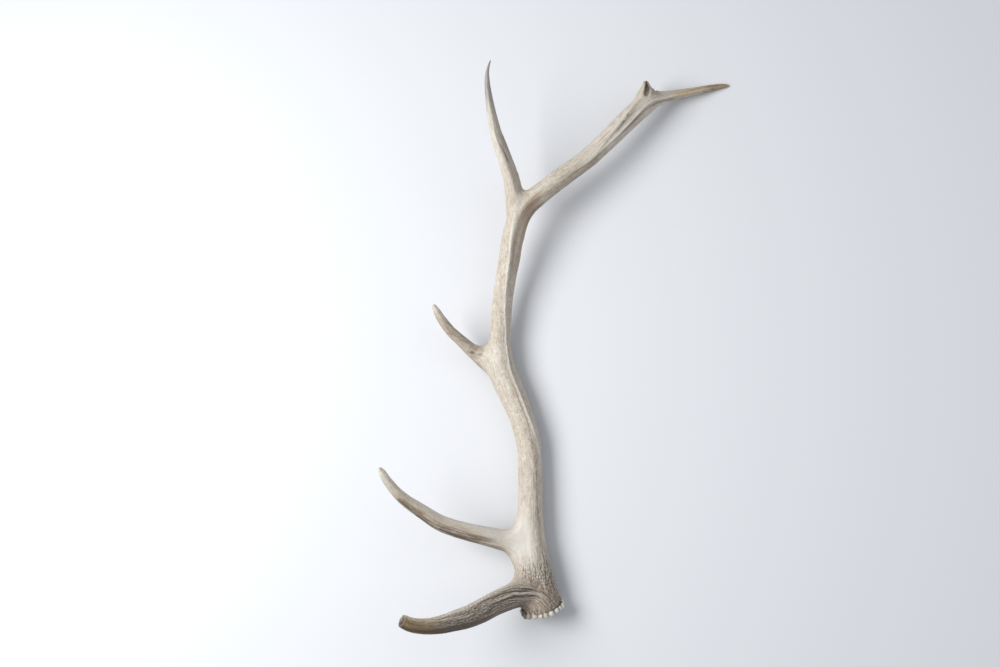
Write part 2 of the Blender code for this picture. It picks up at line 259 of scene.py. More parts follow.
# ------------------------------------------------------------------ the closed skin
def tube(stations, sides=36, ring=2.5, round_tip=True):
    """A closed tapered tube as points and triangles or quads, in millimetres."""
    s, q = smooth_run(stations, ring)
    p, r = q[:, :3], np.maximum(q[:, 3], 0.5)
    t = unit(np.gradient(p, axis=0))
    if round_tip:  # a rounded end instead of a flat one
        m = 5
        a = np.linspace(0, math.pi / 2, m + 1)[1:-1]
        extra_p = p[-1] + np.outer(np.sin(a) * r[-1], t[-1])
        p = np.vstack([p, extra_p])
        r = np.r_[r, np.cos(a) * r[-1]]
        t = np.vstack([t, np.repeat(t[-1:], len(a), 0)])
    u = unit(CAM_DIR - (t @ CAM_DIR)[:, None] * t)
    v = np.cross(t, u)
    ang = np.linspace(0, 2 * math.pi, sides, endpoint=False)
    ringpts = p[:, None] + r[:, None, None] * (np.cos(ang)[None, :, None] * u[:, None] + np.sin(ang)[None, :, None] * v[:, None])
    n = len(p)
    verts = np.vstack([ringpts.reshape(-1, 3), p[:1], p[-1:] + t[-1:] * (r[-1] * 0.2 if round_tip else 0)])
    faces = []
    for i in range(n - 1):
        for j in range(sides):
            k = (j + 1) % sides
            faces.append((i * sides + j, i * sides + k, (i + 1) * sides + k, (i + 1) * sides + j))
    a0, a1 = n * sides, n * sides + 1
    for j in range(sides):
        k = (j + 1) % sides
        faces.append((a0, k, j))
        faces.append((a1, (n - 1) * sides + j, (n - 1) * sides + k))
    return verts, faces


def frame_on(centre, normal, twist=0.0):
    z = unit(np.asarray(normal, float))
    x = unit(np.cross((0.3, 0.2, 1.0), z))
    y = np.cross(z, x)
    c, s = math.cos(twist), math.sin(twist)
    return np.asarray(centre, float), np.stack([x * c + y * s, y * c - x * s, z])


def ball(centre, radii, axes, rings=10):
    lat = np.linspace(0, math.pi, rings + 1)[1:-1]
    lon = np.linspace(0, 2 * math.pi, 2 * rings, endpoint=False)
    m = len(lon)
    pts = [(math.sin(a) * math.cos(b), math.sin(a) * math.sin(b), math.cos(a)) for a in lat for b in lon]
    pts += [(0, 0, 1), (0, 0, -1)]
    faces = []
    for i in range(len(lat) - 1):
        for j in range(m):
            k = (j + 1) % m
            faces.append((i * m + j, (i + 1) * m + j, (i + 1) * m + k, i * m + k))
    top, bot = len(lat) * m, len(lat) * m + 1
    for j in range(m):
        k = (j + 1) % m
        faces.append((top, j, k))
        faces.append((bot, (len(lat) - 1) * m + k, (len(lat) - 1) * m + j))
    return np.asarray(centre) + (np.array(pts) * np.asarray(radii)) @ axes, faces


def torus(centre, axes, R, r, n=72, m=14):
    a = np.linspace(0, 2 * math.pi, n, endpoint=False)
    b = np.linspace(0, 2 * math.pi, m, endpoint=False)
    A, B = np.meshgrid(a, b, indexing="ij")
    pts = np.stack([(R + r * np.cos(B)) * np.cos(A), (R + r * np.cos(B)) * np.sin(A), r * np.sin(B)], -1).reshape(-1, 3)
    faces = [(i * m + j, ((i + 1) % n) * m + j, ((i + 1) % n) * m + (j + 1) % m, i * m + (j + 1) % m)
             for i in range(n) for j in range(m)]
    return centre + pts @ axes, faces


BEAD_AT = []   # centres of the ring's pearls


def burr_shapes():
    c, ax = frame_on(BURR_C, BURR_N)

    def oval(rad):  # the ring is a little wider across than it is high off the floor
        return 1 + 0.095 * (rad @ CAM_RIGHT) ** 2

    pts, faces = torus(c, ax, 27.8, 3.0)
    rel = pts - c
    pts = c + rel * oval(unit(rel))[:, None]
    out = [(pts, faces)]
    rng = np.random.default_rng(11)
    count = 21
    for k in range(count):
        a = 2 * math.pi * (k + rng.uniform(-0.2, 0.2)) / count
        tall = rng.uniform(4.0, 5.3)
        wide = rng.uniform(3.6, 4.7)
        deep = rng.uniform(4.2, 5.2)
        R = 29.9 + rng.uniform(-0.9, 0.5)
        rad = math.cos(a) * ax[0] + math.sin(a) * ax[1]
        tan = -math.sin(a) * ax[0] + math.cos(a) * ax[1]
        lean = rng.uniform(-0.25, 0.25)
        up = unit(ax[2] + lean * tan - 0.22 * rad)
        side = unit(np.cross(up, rad))
        at = c + R * oval(rad) * rad + rng.uniform(-2.2, -0.6) * ax[2]
        BEAD_AT.append(at)
        out.append(ball(at, (deep, wide, tall), np.stack([np.cross(side, up), side, up]), 9))
    for k in range(21):  # a broken second row of small beads above the ring
        a = 2 * math.pi * (k + rng.uniform(-0.35, 0.35)) / 21
        rad = math.cos(a) * ax[0] + math.sin(a) * ax[1]
        size = rng.uniform(1.6, 3.0)
        out.append(ball(c + 29.2 * oval(rad) * rad + rng.uniform(4.0, 7.5) * ax[2], (size, size, size * 1.4), ax, 7))
    out.append(ball(c - 1.0 * ax[2], (27.5, 27.5, 7.0), ax, 16))
    return out


def base_skin():
    shapes = [tube(st, round_tip=(n != "brow")) for n, st in LIMBS.items()]
    shapes += [tube(w, sides=24) for w in WEBS] + burr_shapes()
    verts, faces, base = [], [], 0
    for v, f in shapes:
        verts.append(v)
        faces += [tuple(i + base for i in t) for t in f]
        base += len(v)
    me = bpy.data.meshes.new("raw")
    me.from_pydata((np.vstack(verts) - (0, 0, FLOOR_BITE)) * 0.001, [], faces)
    ob = bpy.data.objects.new("raw", me)
    bpy.context.scene.collection.objects.link(ob)
    mod = ob.modifiers.new("r", "REMESH")
    mod.mode = "VOXEL"
    mod.voxel_size = VOXEL * 0.001
    dg = bpy.context.evaluated_depsgraph_get()
    out = bpy.data.meshes.new_from_object(ob.evaluated_get(dg))
    n = len(out.vertices)
    P = np.empty(n * 3, np.float32)
    out.vertices.foreach_get("co", P)
    P = P.reshape(-1, 3).astype(float) * 1000.0 + (0, 0, FLOOR_BITE)
    counts = np.empty(len(out.polygons), np.int32)
    out.polygons.foreach_get("loop_total", counts)
    loops = np.empty(len(out.loops), np.int32)
    out.loops.foreach_get("vertex_index", loops)
    assert (counts == 4).all()
    Q = loops.reshape(-1, 4).astype(np.int64)
    bpy.data.objects.remove(ob, do_unlink=True)
    bpy.data.meshes.remove(me)
    bpy.data.meshes.remove(out)
    return P, Q


class Net:
    """Neighbours on the skin, for averaging."""

    def __init__(self, Q, n):
        e = np.vstack([Q[:, [0, 1]], Q[:, [1, 2]], Q[:, [2, 3]], Q[:, [3, 0]]])
        e.sort(axis=1)
        e = np.unique(e, axis=0)
        self.i = np.r_[e[:, 0], e[:, 1]]
        self.j = np.r_[e[:, 1], e[:, 0]]
        self.n = n
        self.deg = np.maximum(np.bincount(self.i, minlength=n), 1)

    def mean(self, x):
        if x.ndim == 1:
            return np.bincount(self.i, weights=x[self.j], minlength=self.n) / self.deg
        return np.stack([self.mean(x[:, k]) for k in range(x.shape[1])], -1)

    def smooth(self, x, times, w=0.5):
        for _ in range(times):
            x = x + (self.mean(x) - x) * (w if np.isscalar(w) else (w[:, None] if x.ndim == 2 else w))
        return x


def normals(P, Q):
    a, b = P[Q[:, 2]] - P[Q[:, 0]], P[Q[:, 3]] - P[Q[:, 1]]
    f = np.cross(a, b)
    out = np.zeros_like(P)
    for k in range(4):
        for c in range(3):
            out[:, c] += np.bincount(Q[:, k], weights=f[:, c], minlength=len(P))
    return unit(out)


AXES = {n: Axis(st) for n, st in LIMBS.items()}
AXES["swirl"] = Axis(SWIRL)

P, Q = base_skin()
net = Net(Q, len(P))

# Each fork is filleted: how far the fillet reaches, in mm, on the side of the tip and on the side of the burr.
FILLETS = {"stub": (6, 24), "royal": (15, 40), "trez": (26, 66), "bez": (33, 84), "brow": (30, 14)}
FORK_AT = {"stub": 985.0, "royal": 668.0, "trez": 400.0, "bez": 92.0, "brow": 26.0}


def blended(P, seen):
    """Height over the filleted form, and its outward direction."""
    def field(n):
        ax = AXES[n]
        seen[n] = ax.nearest(P) if n not in seen else ax.follow(P, seen[n])
        s, c, r, j, w = ax.near(P, seen[n])
        d = P - c
        size = np.linalg.norm(d, axis=1)
        g = d / np.maximum(size, 1e-6)[:, None]
        q = size - r
        if n == "brow":  # broken off square
            t = ax.t[-1]
            over = (P - ax.p[-1]) @ t
            flat = over > q
            flat &= s > ax.length - 3
            q = np.where(flat, over, q)
            g = np.where(flat[:, None], t, g)
        return q, g, s

    F, G, s_beam = field("beam")
    for n, (k_tip, k_burr) in FILLETS.items():
        b, gb, _ = field(n)
        w = step(s_beam, FORK_AT[n] - 22, FORK_AT[n] + 12)
        k = (k_burr * (1 - w) + k_tip * w) * np.clip(1.15 * (1 - (G * gb).sum(1)), 0.02, 1)
        h = np.clip(1 - np.abs(F - b) / k, 0, 1)
        first = F < b
        low = np.minimum(F, b) - h * h * k / 4
        m = 0.5 * h
        a_part = np.where(first, 1 - m, m)[:, None]
        G = unit(G * a_part + gb * (1 - a_part))
        F = low
    return F, G


seen = {}
burr_h = (P - BURR_C) @ BURR_N
burr_d = np.linalg.norm(P - BURR_C - burr_h[:, None] * BURR_N, axis=1)
at_burr = step(burr_d, 25.5, 28.5) * (1 - step(burr_h, 6.0, 12.0)) * (burr_h > -14) * (burr_d < 46)
below = step(-burr_h, -2.0, 1.0) * (burr_d < 40) * (burr_h > -16)
held = np.clip(at_burr + below, 0, 1)
P = net.smooth(P, 2, 0.5 * (1 - 0.6 * held))
for turn in range(7):
    F, G = blended(P, seen)
    P = P - G * (np.clip(F, -3.0, 3.0) * (1 - held))[:, None]
    if turn < 6:  # even out the cells without changing the form
        pull = net.mean(P) - P
        pull -= G * (pull * G).sum(1)[:, None]
        P = P + pull * (0.6 * (1 - held))[:, None]
P = net.smooth(P, 2, 0.35 * (1 - 0.6 * held))
N = normals(P, Q)

C = {n: a.coords(P) for n, a in AXES.items()}
near = {n: c[2] - c[3] for n, c in C.items()}
tines = ["stub", "royal", "trez", "bez", "brow"]
soft = 4.0
gaps = np.stack([near[n] for n in ["beam"] + tines], -1)
gaps = np.exp(-np.clip((gaps - gaps.min(1)[:, None]) / soft, 0, 40))
gaps /= gaps.sum(1)[:, None]
share = {n: gaps[:, k + 1] for k, n in enumerate(tines)}
swirl_share = 1 / (1 + np.exp(np.clip((near["swirl"] - near["beam"] + 1.0) / 3.5, -40, 40)))
swirl_share = swirl_share * step(gaps[:, 0] + share["brow"], 0.3, 0.9)


def flow(name, r0=None):
    """Straightened coordinates along a limb: across, across, along."""
    s, a, d, r = C[name]
    r = r if r0 is None else r0
    return np.stack([r * np.cos(a), r * np.sin(a), s], -1)


flow_beam = flow("beam")
# the nearest tine's coordinates, with the swirl for the brow tine
pick = np.stack([near[n] for n in ("stub", "royal", "trez", "bez")] + [near["swirl"]], -1).argmin(1)
flow_tine = np.zeros_like(P)
for k, n in enumerate(("stub", "royal", "trez", "bez", "swirl")):
    m = pick == k
    flow_tine[m] = (flow(n) + (0, 0, 3000.0 * (k + 1)))[m]
tine_share = np.max(np.stack([share[n] for n in ("stub", "royal", "trez", "bez")] + [swirl_share], -1), -1)


def both(fn):
    """A pattern read in the beam's coordinates and in the tine's, blended at the fork."""
    a = fn(flow_beam)
    use = tine_share > 0.01
    b = np.zeros_like(a)
    b[use] = fn(flow_tine[use])
    return a * (1 - tine_share) + b * tine_share


def strands(width, length, seed, wander=0.0):
    def fn(F):
        G = F.copy()
        if wander:
            G[:, 0] += wander * noise(F / (14, 14, 34), seed + 5)
            G[:, 1] += wander * noise(F / (14, 14, 34), seed + 6)
        return noise(G / (width, width, length), seed)
    return both(fn)


sb, ab, db, rb = C["beam"]
deg = np.degrees(ab)

# ------------------------------------------------------------------ carved form
# limb, [(distance, angle, height, angular width), ...]: long ridges (+) and hollows (-).
LINES = [
    # the crest that runs up the beam's camera side, and the flat or hollow face beside it
    ("beam", [(250, 48, 0.0, 12), (290, 36, 1.0, 11), (335, 32, 1.1, 11), (381, 31, 1.2, 11), (430, 35, 1.3, 11), (462, 31, 1.5, 11), (492, 20, 1.8, 12), (543, 10, 2.2, 13), (594, 0, 2.4, 13), (619, -4, 2.4, 14), (643, -15, 2.2, 15), (661, -30, 1.6, 16), (690, -50, 0.0, 18)]),
    ("beam", [(400, 76, 0.0, 20), (460, 62, -1.3, 22), (520, 48, -2.5, 24), (580, 37, -3.6, 26), (640, 28, -3.7, 28), (680, 27, -3.0, 28), (712, 34, -1.3, 27), (745, 42, 0.0, 24)]),
    ("beam", [(255, 66, 0.0, 14), (300, 53, -1.1, 13), (381, 50, -1.2, 13), (440, 54, -0.8, 13), (480, 46, 0.0, 13)]),
    ("beam", [(440, 92, 0.0, 10), (470, 91, 0.9, 10), (550, 90, 1.0, 10), (600, 86, 0.6, 10), (640, 82, 0.0, 10)]),
    ("beam", [(480, -24, 0.0, 26), (540, -36, -1.6, 27), (620, -44, -2.1, 28), (690, -50, -1.2, 28), (720, -50, 0.0, 28)]),
    ("beam", [(60, 40, 0.0, 14), (110, 42, -0.9, 10), (170, 38, -1.0, 9), (225, 42, -0.9, 9), (280, 50, 0.0, 9)]),
    # fine rib and furrow along the crest
    ("beam", [(222, 62, 0.0, 4.5), (245, 52, 0.5, 4.5), (275, 41, 0.6, 4.5), (310, 31, 0.6, 4.5), (381, 31, 0.6, 4.5), (430, 35, 0.6, 4.5), (462, 31, 0.6, 4.5), (492, 20, 0.6, 4.5), (543, 10, 0.6, 5), (594, 0, 0.6, 5), (643, -15, 0.5, 5), (668, -40, 0.0, 5)]),
    ("beam", [(270, 28, 0.0, 4), (290, 22, -0.45, 4), (313, 19, -0.5, 4), (370, 18, -0.45, 4), (410, 24, 0.0, 4)]),
    ("beam", [(280, 52, 0.0, 4), (310, 41, -0.45, 4), (381, 41, -0.5, 4), (430, 45, -0.45, 4), (470, 38, 0.0, 4)]),
    # upper beam: long ridges with a hollow channel between them, up to the crown
    ("beam", [(775, 34, 0.0, 10), (815, 20, 0.8, 10), (850, -6, 1.2, 11), (880, -16, 1.5, 11), (905, -27, 1.6, 11), (934, -44, 1.4, 12), (965, -60, 0.0, 12)]),
    ("beam", [(835, 12, 0.0, 8), (860, 7, -1.2, 9), (885, 3, -2.3, 11), (907, -3, -3.0, 14), (944, -18, -3.1, 18), (968, -26, -1.6, 20), (985, -26, 0.0, 20)]),
    ("beam", [(815, 28, 0.0, 6), (845, 24, 0.8, 6), (870, 24, 1.4, 6.5), (902, 21, 1.8, 7), (929, 12, 2.0, 8), (954, 9, 1.9, 9), (979, 15, 1.5, 11), (1010, 12, 0.5, 14), (1030, 8, 0.0, 16)]),
    ("beam", [(850, 42, 0.0, 7), (879, 37, -1.3, 7), (908, 34, -1.9, 8), (934, 32, -2.1, 9), (961, 37, -2.0, 10), (979, 45, -1.7, 11), (1002, 52, 0.0, 13)]),
    ("beam", [(895, 60, 0.0, 9), (925, 62, 1.0, 9), (939, 62, 1.2, 9), (966, 58, 1.2, 9), (990, 72, 0.8, 11), (1015, 82, 0.0, 12)]),
    ("beam", [(740, 30, 0.0, 6), (775, 28, -0.6, 5), (815, 36, -0.6, 5), (850, 34, 0.0, 6)]),
    ("beam", [(985, 30, 0.0, 12), (1010, 40, -0.7, 12), (1050, 46, -0.5, 14), (1070, 50, 0.0, 14)]),
    ("royal", [(30, 10, 0.0, 16), (60, -2, 1.3, 13), (95, -12, 1.3, 13), (130, -16, 1.0, 14), (175, -10, 0.8, 15), (220, -6, 0.3, 16), (240, -6, 0.0, 16)]),
    ("royal", [(36, 50, 0.0, 24), (70, 42, -1.7, 24), (110, 34, -1.6, 25), (160, 36, -1.1, 28), (210, 40, -0.5, 30), (235, 40, 0.0, 30)]),
    ("royal", [(95, 14, 0.0, 7), (108, 16, -1.0, 7), (130, 6, -0.7, 6), (145, -4, 0.0, 6)]),
    ("bez", [(60, 10, 0.0, 18), (100, -2, 0.6, 15), (170, -8, 0.5, 15), (220, -8, 0.0, 16)]),
    ("bez", [(70, 44, 0.0, 16), (110, 40, -0.6, 15), (170, 36, -0.5, 15), (220, 36, 0.0, 15)]),
    # brow tine: a rounded rib low on its camera side
    ("swirl", [(150, 8, 0.0, 10), (189, 23, 0.9, 9), (229, 41, 1.1, 9), (258, 54, 0.9, 9), (285, 70, 0.0, 10)]),
    # the folds that sweep over the foot into the brow tine
    ("swirl", [(28, 60, 0.0, 6), (50, 54, -1.1, 6), (70, 40, -1.2, 6), (102, 41, -1.2, 6), (134, 50, -1.0, 6), (165, 62, 0.0, 6)]),
    ("swirl", [(28, 44, 0.0, 6), (47, 37, 0.9, 6), (64, 28, 1.1, 6.5), (90, 30, 1.1, 6.5), (115, 22, 0.8, 6.5), (150, 30, 0.0, 7)]),
    ("swirl", [(40, 20, 0.0, 5), (66, 12, -0.9, 5), (93, 14, -1.0, 5), (124, 10, -0.8, 5), (157, 12, 0.0, 5)]),
]
form = np.zeros(len(P))
ridge_tone = np.zeros(len(P))
for limb, table in LINES:
    s, a, d, r = C[limb]
    own = swirl_share if limb == "swirl" else np.clip(1 - tine_share, 0, 1) if limb == "beam" else share[limb]
    mid = np.radians(keys(s, table, 1))
    high = keys(s, table, 2) * (s > table[0][0]) * (s < table[-1][0])
    wide = np.radians(keys(s, table, 3))
    g = np.exp(-(wrap(a - mid) / wide) ** 2)
    form += own * high * g
    if table[2][2] > 0 and limb != "swirl":
        ridge_tone = np.maximum(ridge_tone, own * np.clip(high, 0, 1.2) * np.exp(-(wrap(a - mid) / (wide * 0.45)) ** 2))

rib_tone, furrow_tone = np.zeros(len(P)), np.zeros(len(P))
for limb, table in LINES:
    if max(t[3] for t in table) > 9:
        continue
    s_, a_ = C[limb][:2]
    own = swirl_share if limb == "swirl" else np.clip(1 - tine_share, 0, 1) if limb == "beam" else share[limb]
    line = own * np.exp(-(wrap(a_ - np.radians(keys(s_, table, 1))) / np.radians(keys(s_, table, 3))) ** 2)
    line *= (s_ > table[0][0]) * (s_ < table[-1][0]) * np.clip(np.abs(keys(s_, table, 2)) / 0.5, 0, 1)
    if max(t[2] for t in table) > 0:
        rib_tone = np.maximum(rib_tone, line)
    else:
        furrow_tone = np.maximum(furrow_tone, line)

# ------------------------------------------------------------------ how rough each place is
s_brow, a_brow = C["brow"][0], C["brow"][1]
s_bez, a_bez = C["bez"][0], C["bez"][1]
s_trez, s_royal, s_stub = C["trez"][0], C["royal"][0], C["stub"][0]
brow_own, bez_own, trez_own, royal_own, stub_own = (share[n] for n in ("brow", "bez", "trez", "royal", "stub"))
lower = np.degrees(a_brow)  # below the brow tine is negative
front = 0.5 + 0.5 * np.cos(ab)                      # 1 faces the camera, 0 the floor
foot = 1 - step(sb, 60, 118)                         # the foot of the beam
brow_mid = step(s_brow, 20, 45) * (1 - step(s_brow, 175, 232))
groove_amp = (0.25 + 0.22 * (1 - step(sb, 150, 420)) * (1 - front) + 0.14 * (1 - front))
groove_amp = groove_amp * (1 - step(sb, 960, 1060))
groove_amp = np.maximum(groove_amp, 1.05 * foot * (0.55 + 0.45 * step(sb, -20, 20)))
tine_amp = np.zeros(len(P))
tine_amp += brow_own * (0.22 * brow_mid + 0.05)
tine_amp += bez_own * 0.34 * (1 - step(s_bez, 150, 245)) * (0.55 + 0.45 * np.exp(-(wrap(a_bez - math.radians(-50)) / 1.0) ** 2))
tine_amp += trez_own * 0.22 * (1 - step(s_trez, 100, 150))
tine_amp += royal_own * 0.2 * (1 - step(s_royal, 120, 220))
tine_amp += stub_own * 0.2
others = np.clip(brow_own + bez_own + trez_own + royal_own + stub_own, 0, 1)
amp = groove_amp * (1 - others) + tine_amp
# the smooth pale patch between the bez and the foot, on the camera side
calm_patch = np.exp(-((sb - 110) / 42) ** 2) * np.exp(-(wrap(ab - math.radians(-38)) / 0.75) ** 4) * (1 - 0.6 * brow_own)
amp = amp * (1 - 0.85 * calm_patch)

def comb(a, F, count, seed):
    """Long wavy grooves side by side: 1 in a groove, 0 on the ridges between, and how deep each runs."""
    ph = a / (2 * math.pi) * count + 0.85 * noise(F / (10, 10, 52), seed) + 0.42 * noise(F / (5, 5, 20), seed + 1)
    v = (0.5 + 0.5 * np.cos(2 * math.pi * ph)) ** 2.6
    return v * np.clip(0.62 + 0.75 * noise(F / (4.5, 4.5, 38), seed + 2), 0.05, 1.25)


a_sw, s_sw = C["swirl"][1], C["swirl"][0]
sw = np.degrees(a_sw)
combed = np.zeros(len(P))
m = swirl_share > 0.01
combed[m] = comb(a_sw[m], flow("swirl")[m], 27, 201)
comb_zone = step(sw, -16, 6) * (1 - step(sw, 62, 84)) + 0.55 * step(np.abs(sw), 118, 140)
comb_zone = np.maximum(comb_zone, 0.8 * (1 - step(s_sw, 120, 165)) * step(sw, -75, -50) * (1 - step(sw, 70, 92)))
comb_zone *= 1 - 0.9 * step(s_sw, 268, 335)
g1 = strands(5.2, 62, 3, wander=2.6)
g2 = strands(2.6, 38, 8, wander=1.3)
g3 = strands(9.5, 110, 14, wander=4.0)


def furrow(n, sharp=0.34):
    return np.exp(-(n / sharp) ** 2)


grooves = -(0.95 * furrow(g1) + 0.45 * furrow(g2, 0.3) + 0.55 * furrow(g3, 0.26)) + 0.45
# pearling: small hard beads on the foot and along the outer side
pearl_amp = 0.95 * np.exp(-((sb - 50) / 24) ** 2) * (1 - 0.75 * calm_patch) * (1 - 0.8 * swirl_share)
pearl_amp += 0.5 * np.exp(-((sb - 18) / 18) ** 2)
pearl_amp += 0.30 * (1 - front) * (1 - step(sb, 330, 520)) * (1 - others)
pearl_amp += brow_own * 0.16 * brow_mid * step(lower, -30, 40)
pearl_amp += bez_own * 0.22 * (1 - step(s_bez, 60, 110))


def pearls(F):
    d, tag = worley(F / (3.5, 3.5, 5.6), 21)
    return np.clip(1 - (d / (0.42 + 0.25 * tag)) ** 2, 0, 1) ** 0.8


pearl = both(pearls)
swell = both(lambda F: fbm(F / (24, 24, 60), 2, 41))
fine = both(lambda F: noise(F / (2.0, 2.0, 5.0), 55))
worm = both(lambda F: 1 - 2 * np.abs(noise(F / (3.4, 3.4, 7.5) + 0.5 * noise(F / (6, 6, 10), 57)[:, None], 56)))
net_n = both(lambda F: noise(F / (2.6, 2.6, 7.6) + 0.6 * noise(F / (7, 7, 12), 58)[:, None], 59))
weave = np.exp(-(net_n / 0.23) ** 2)                # a network of fine dark furrows
weave_zone = np.clip(brow_own * step(s_brow, 55, 95) * (1 - step(s_brow, 168, 215)) * step(lower, -34, -10) * (1 - step(lower, 62, 88))
                     + 0.72 * np.exp(-((sb - 52) / 26) ** 2) * (1 - calm_patch) * step(deg, -75, -30), 0, 1)
grain_amp = 0.07 + 0.06 * foot
disp = form + 1.25 * swirl_share * comb_zone * (1 - 0.55 * weave_zone) * (0.32 - combed) + 0.55 * weave_zone * (0.3 - weave) + amp * grooves * (1 - 0.6 * swirl_share) + pearl_amp * (pearl - 0.25) + 0.55 * swell * (1 - at_burr) + grain_amp * fine + 0.15 * (worm - 0.4) * step(sb, 60, 130) * (1 - 0.8 * calm_patch) * (1 - step(sb, 940, 1040))

# thin tips keep their size
slim = np.min(np.stack([np.where(share[n] > 0.5, C[n][3], 99) for n in tines] + [rb], -1), -1)
disp *= step(slim, 1.0, 7.0)
# the ring of pearls keeps its beads, with a rough skin
rough_bead = fbm(P / 2.4, 2, 61)
disp = disp * (1 - at_burr) + at_burr * 0.35 * rough_bead
# the shed face: domed, granular and pitted
seal = step(-burr_h, 0.0, 3.0) * (1 - step(burr_d, 24, 28))
d_seal, t_seal = worley(P / 3.1, 71)
seal_h = 1.0 * np.clip(1 - (d_seal / 0.62) ** 2, 0, 1) + 0.9 * fbm(P / 7.0, 2, 75) - 0.5
disp = disp * (1 - seal) + seal * seal_h

# broken end of the brow tine: a chipped hollow face
sB, aB, dB, rB = C["brow"]
end = step(sB, AXES["brow"].length - 1.2, AXES["brow"].length - 0.2) * (brow_own > 0.5)
brow_t = AXES["brow"].t[-1]
across = np.linalg.norm((P - AXES["brow"].p[-1]) - ((P - AXES["brow"].p[-1]) @ brow_t)[:, None] * brow_t, axis=1)
hollow = end * (1 - step(across, 3.5, 8.8))
P0 = P.copy()
P = P + N * (disp * (1 - end))[:, None]
P -= brow_t * (hollow * (3.0 + 1.1 * fbm(P0 / 3.0, 2, 83)))[:, None]
P -= brow_t * (end * (1 - hollow) * np.clip(1.4 * fbm(P0 / 4.0, 2, 84) + 0.3, 0, 2))[:, None]

# the broken point at the crown: its camera side is split open, dark and hollow
sS, aS, dS, rS = C["stub"]
dS_ = np.degrees(aS)
split = stub_own * step(sS, 15, 20) * np.exp(-((dS_ - 7) / keys(sS, [(14, 10), (22, 22), (32, 30), (38, 25), (43, 12)])) ** 4)
P -= N * (split * (3.4 + 0.9 * fbm(P0 / 3.0, 2, 87)))[:, None]
ledge = stub_own * step(sS, 26, 30) * step(dS_, 50, 66) * (1 - step(dS_, 130, 160))
P -= AXES["stub"].t[-1] * (ledge * (3.4 + 1.6 * fbm(P0 / 2.5, 2, 89)))[:, None]
# chips on the terminal tine
chip = np.exp(-((sb - 1062) / 13) ** 2) * step(fbm(P0 / (3.2, 3.2, 3.2), 2, 91), 0.0, 0.35) * (1 - others)
P -= N * (0.55 * chip * step(rb, 2, 4))[:, None]

# steep steps are relaxed a little, then the worn flats
P = net.smooth(P, 1, 0.25)
P[:, 2] = np.maximum(P[:, 2], FLOOR_BITE)
P = P - (0, 0, FLOOR_BITE)
N2 = normals(P, Q)
print("skin", len(P), "points")

# ------------------------------------------------------------------ tones
total = ((P + (0, 0, FLOOR_BITE) - P0) * N).sum(1)
cavity = net.smooth(total, int(round(7 / VOXEL)), 0.7) - total
cavity = np.clip(cavity / 0.42, -1, 1)
deep = np.clip(cavity, 0, 1)
high = np.clip(-cavity, 0, 1)
cloud = both(lambda F: fbm(F / (16, 16, 46), 3, 101))
cloud2 = both(lambda F: fbm(F / (7, 7, 30), 3, 111))
long1 = strands(3.4, 90, 121, wander=1.4)
long2 = strands(1.7, 46, 131, wander=0.8)

IVORY = np.array((0.74, 0.71, 0.645))
CREAM = np.array((0.65, 0.605, 0.525))
TAN = np.array((0.46, 0.39, 0.30))
UMBER = np.array((0.215, 0.155, 0.110))
SOOT = np.array((0.060, 0.050, 0.042))
GREY = np.array((0.36, 0.335, 0.30))
OLIVE = np.array((0.34, 0.245, 0.125))
BEADS = np.array((0.77, 0.735, 0.65))


def mix(a, b, w):
    w = np.clip(w, 0, 1)[:, None]
    return a * (1 - w) + b * w


def ball_at(c, size):
    """1 near a point, 0 beyond its size."""
    return np.exp(-(((P0 - c) ** 2).sum(1) / size ** 2) ** 1.5)


beam_own = 1 - others
blotch = both(lambda F: fbm(F / (4.2, 4.2, 9.0), 2, 151))        # small mottles, 4 mm across
fleck = both(lambda F: noise(F / (2.3, 2.3, 5.5), 161))          # flecks


def dim(a, colour, w):
    """Darkened, or lightened, by a colour."""
    return a * (1 - np.clip(w, 0, 1)[:, None] * (1 - np.array(colour)))


tint = np.repeat(CREAM[None], len(P), 0)
quiet = 1 - 0.88 * calm_patch
mid_beam = step(sb, 190, 240) * (1 - step(sb, 700, 760)) * beam_own
tint = mix(tint, TAN, np.clip(0.34 + 0.34 * cloud - 0.05 * mid_beam, 0, 1))
tint = dim(tint, (0.80, 0.745, 0.70), (0.42 + 0.16 * cloud2) * step(blotch, -0.02, 0.45) * quiet)
tint = dim(tint, (0.74, 0.67, 0.61), 0.42 * step(fleck, 0.16, 0.60) * quiet)
tint = mix(tint, IVORY, 0.36 * step(-blotch, 0.05, 0.42) + 0.24 * step(cloud2, 0.05, 0.6) + 0.05 * mid_beam)
tint = dim(tint, (0.72, 0.66, 0.60), 0.38 * step(-worm, -0.45, 0.25) * step(sb, 90, 150) * quiet * (1 - 0.5 * ridge_tone) * (1 - 0.35 * mid_beam))
tint = mix(tint, IVORY, 0.62 * ridge_tone * (0.8 + 0.5 * blotch))
tint = mix(tint, IVORY * 1.04, 0.85 * rib_tone * beam_own)
tint = mix(tint, UMBER * 1.6, 0.50 * furrow_tone * beam_own)
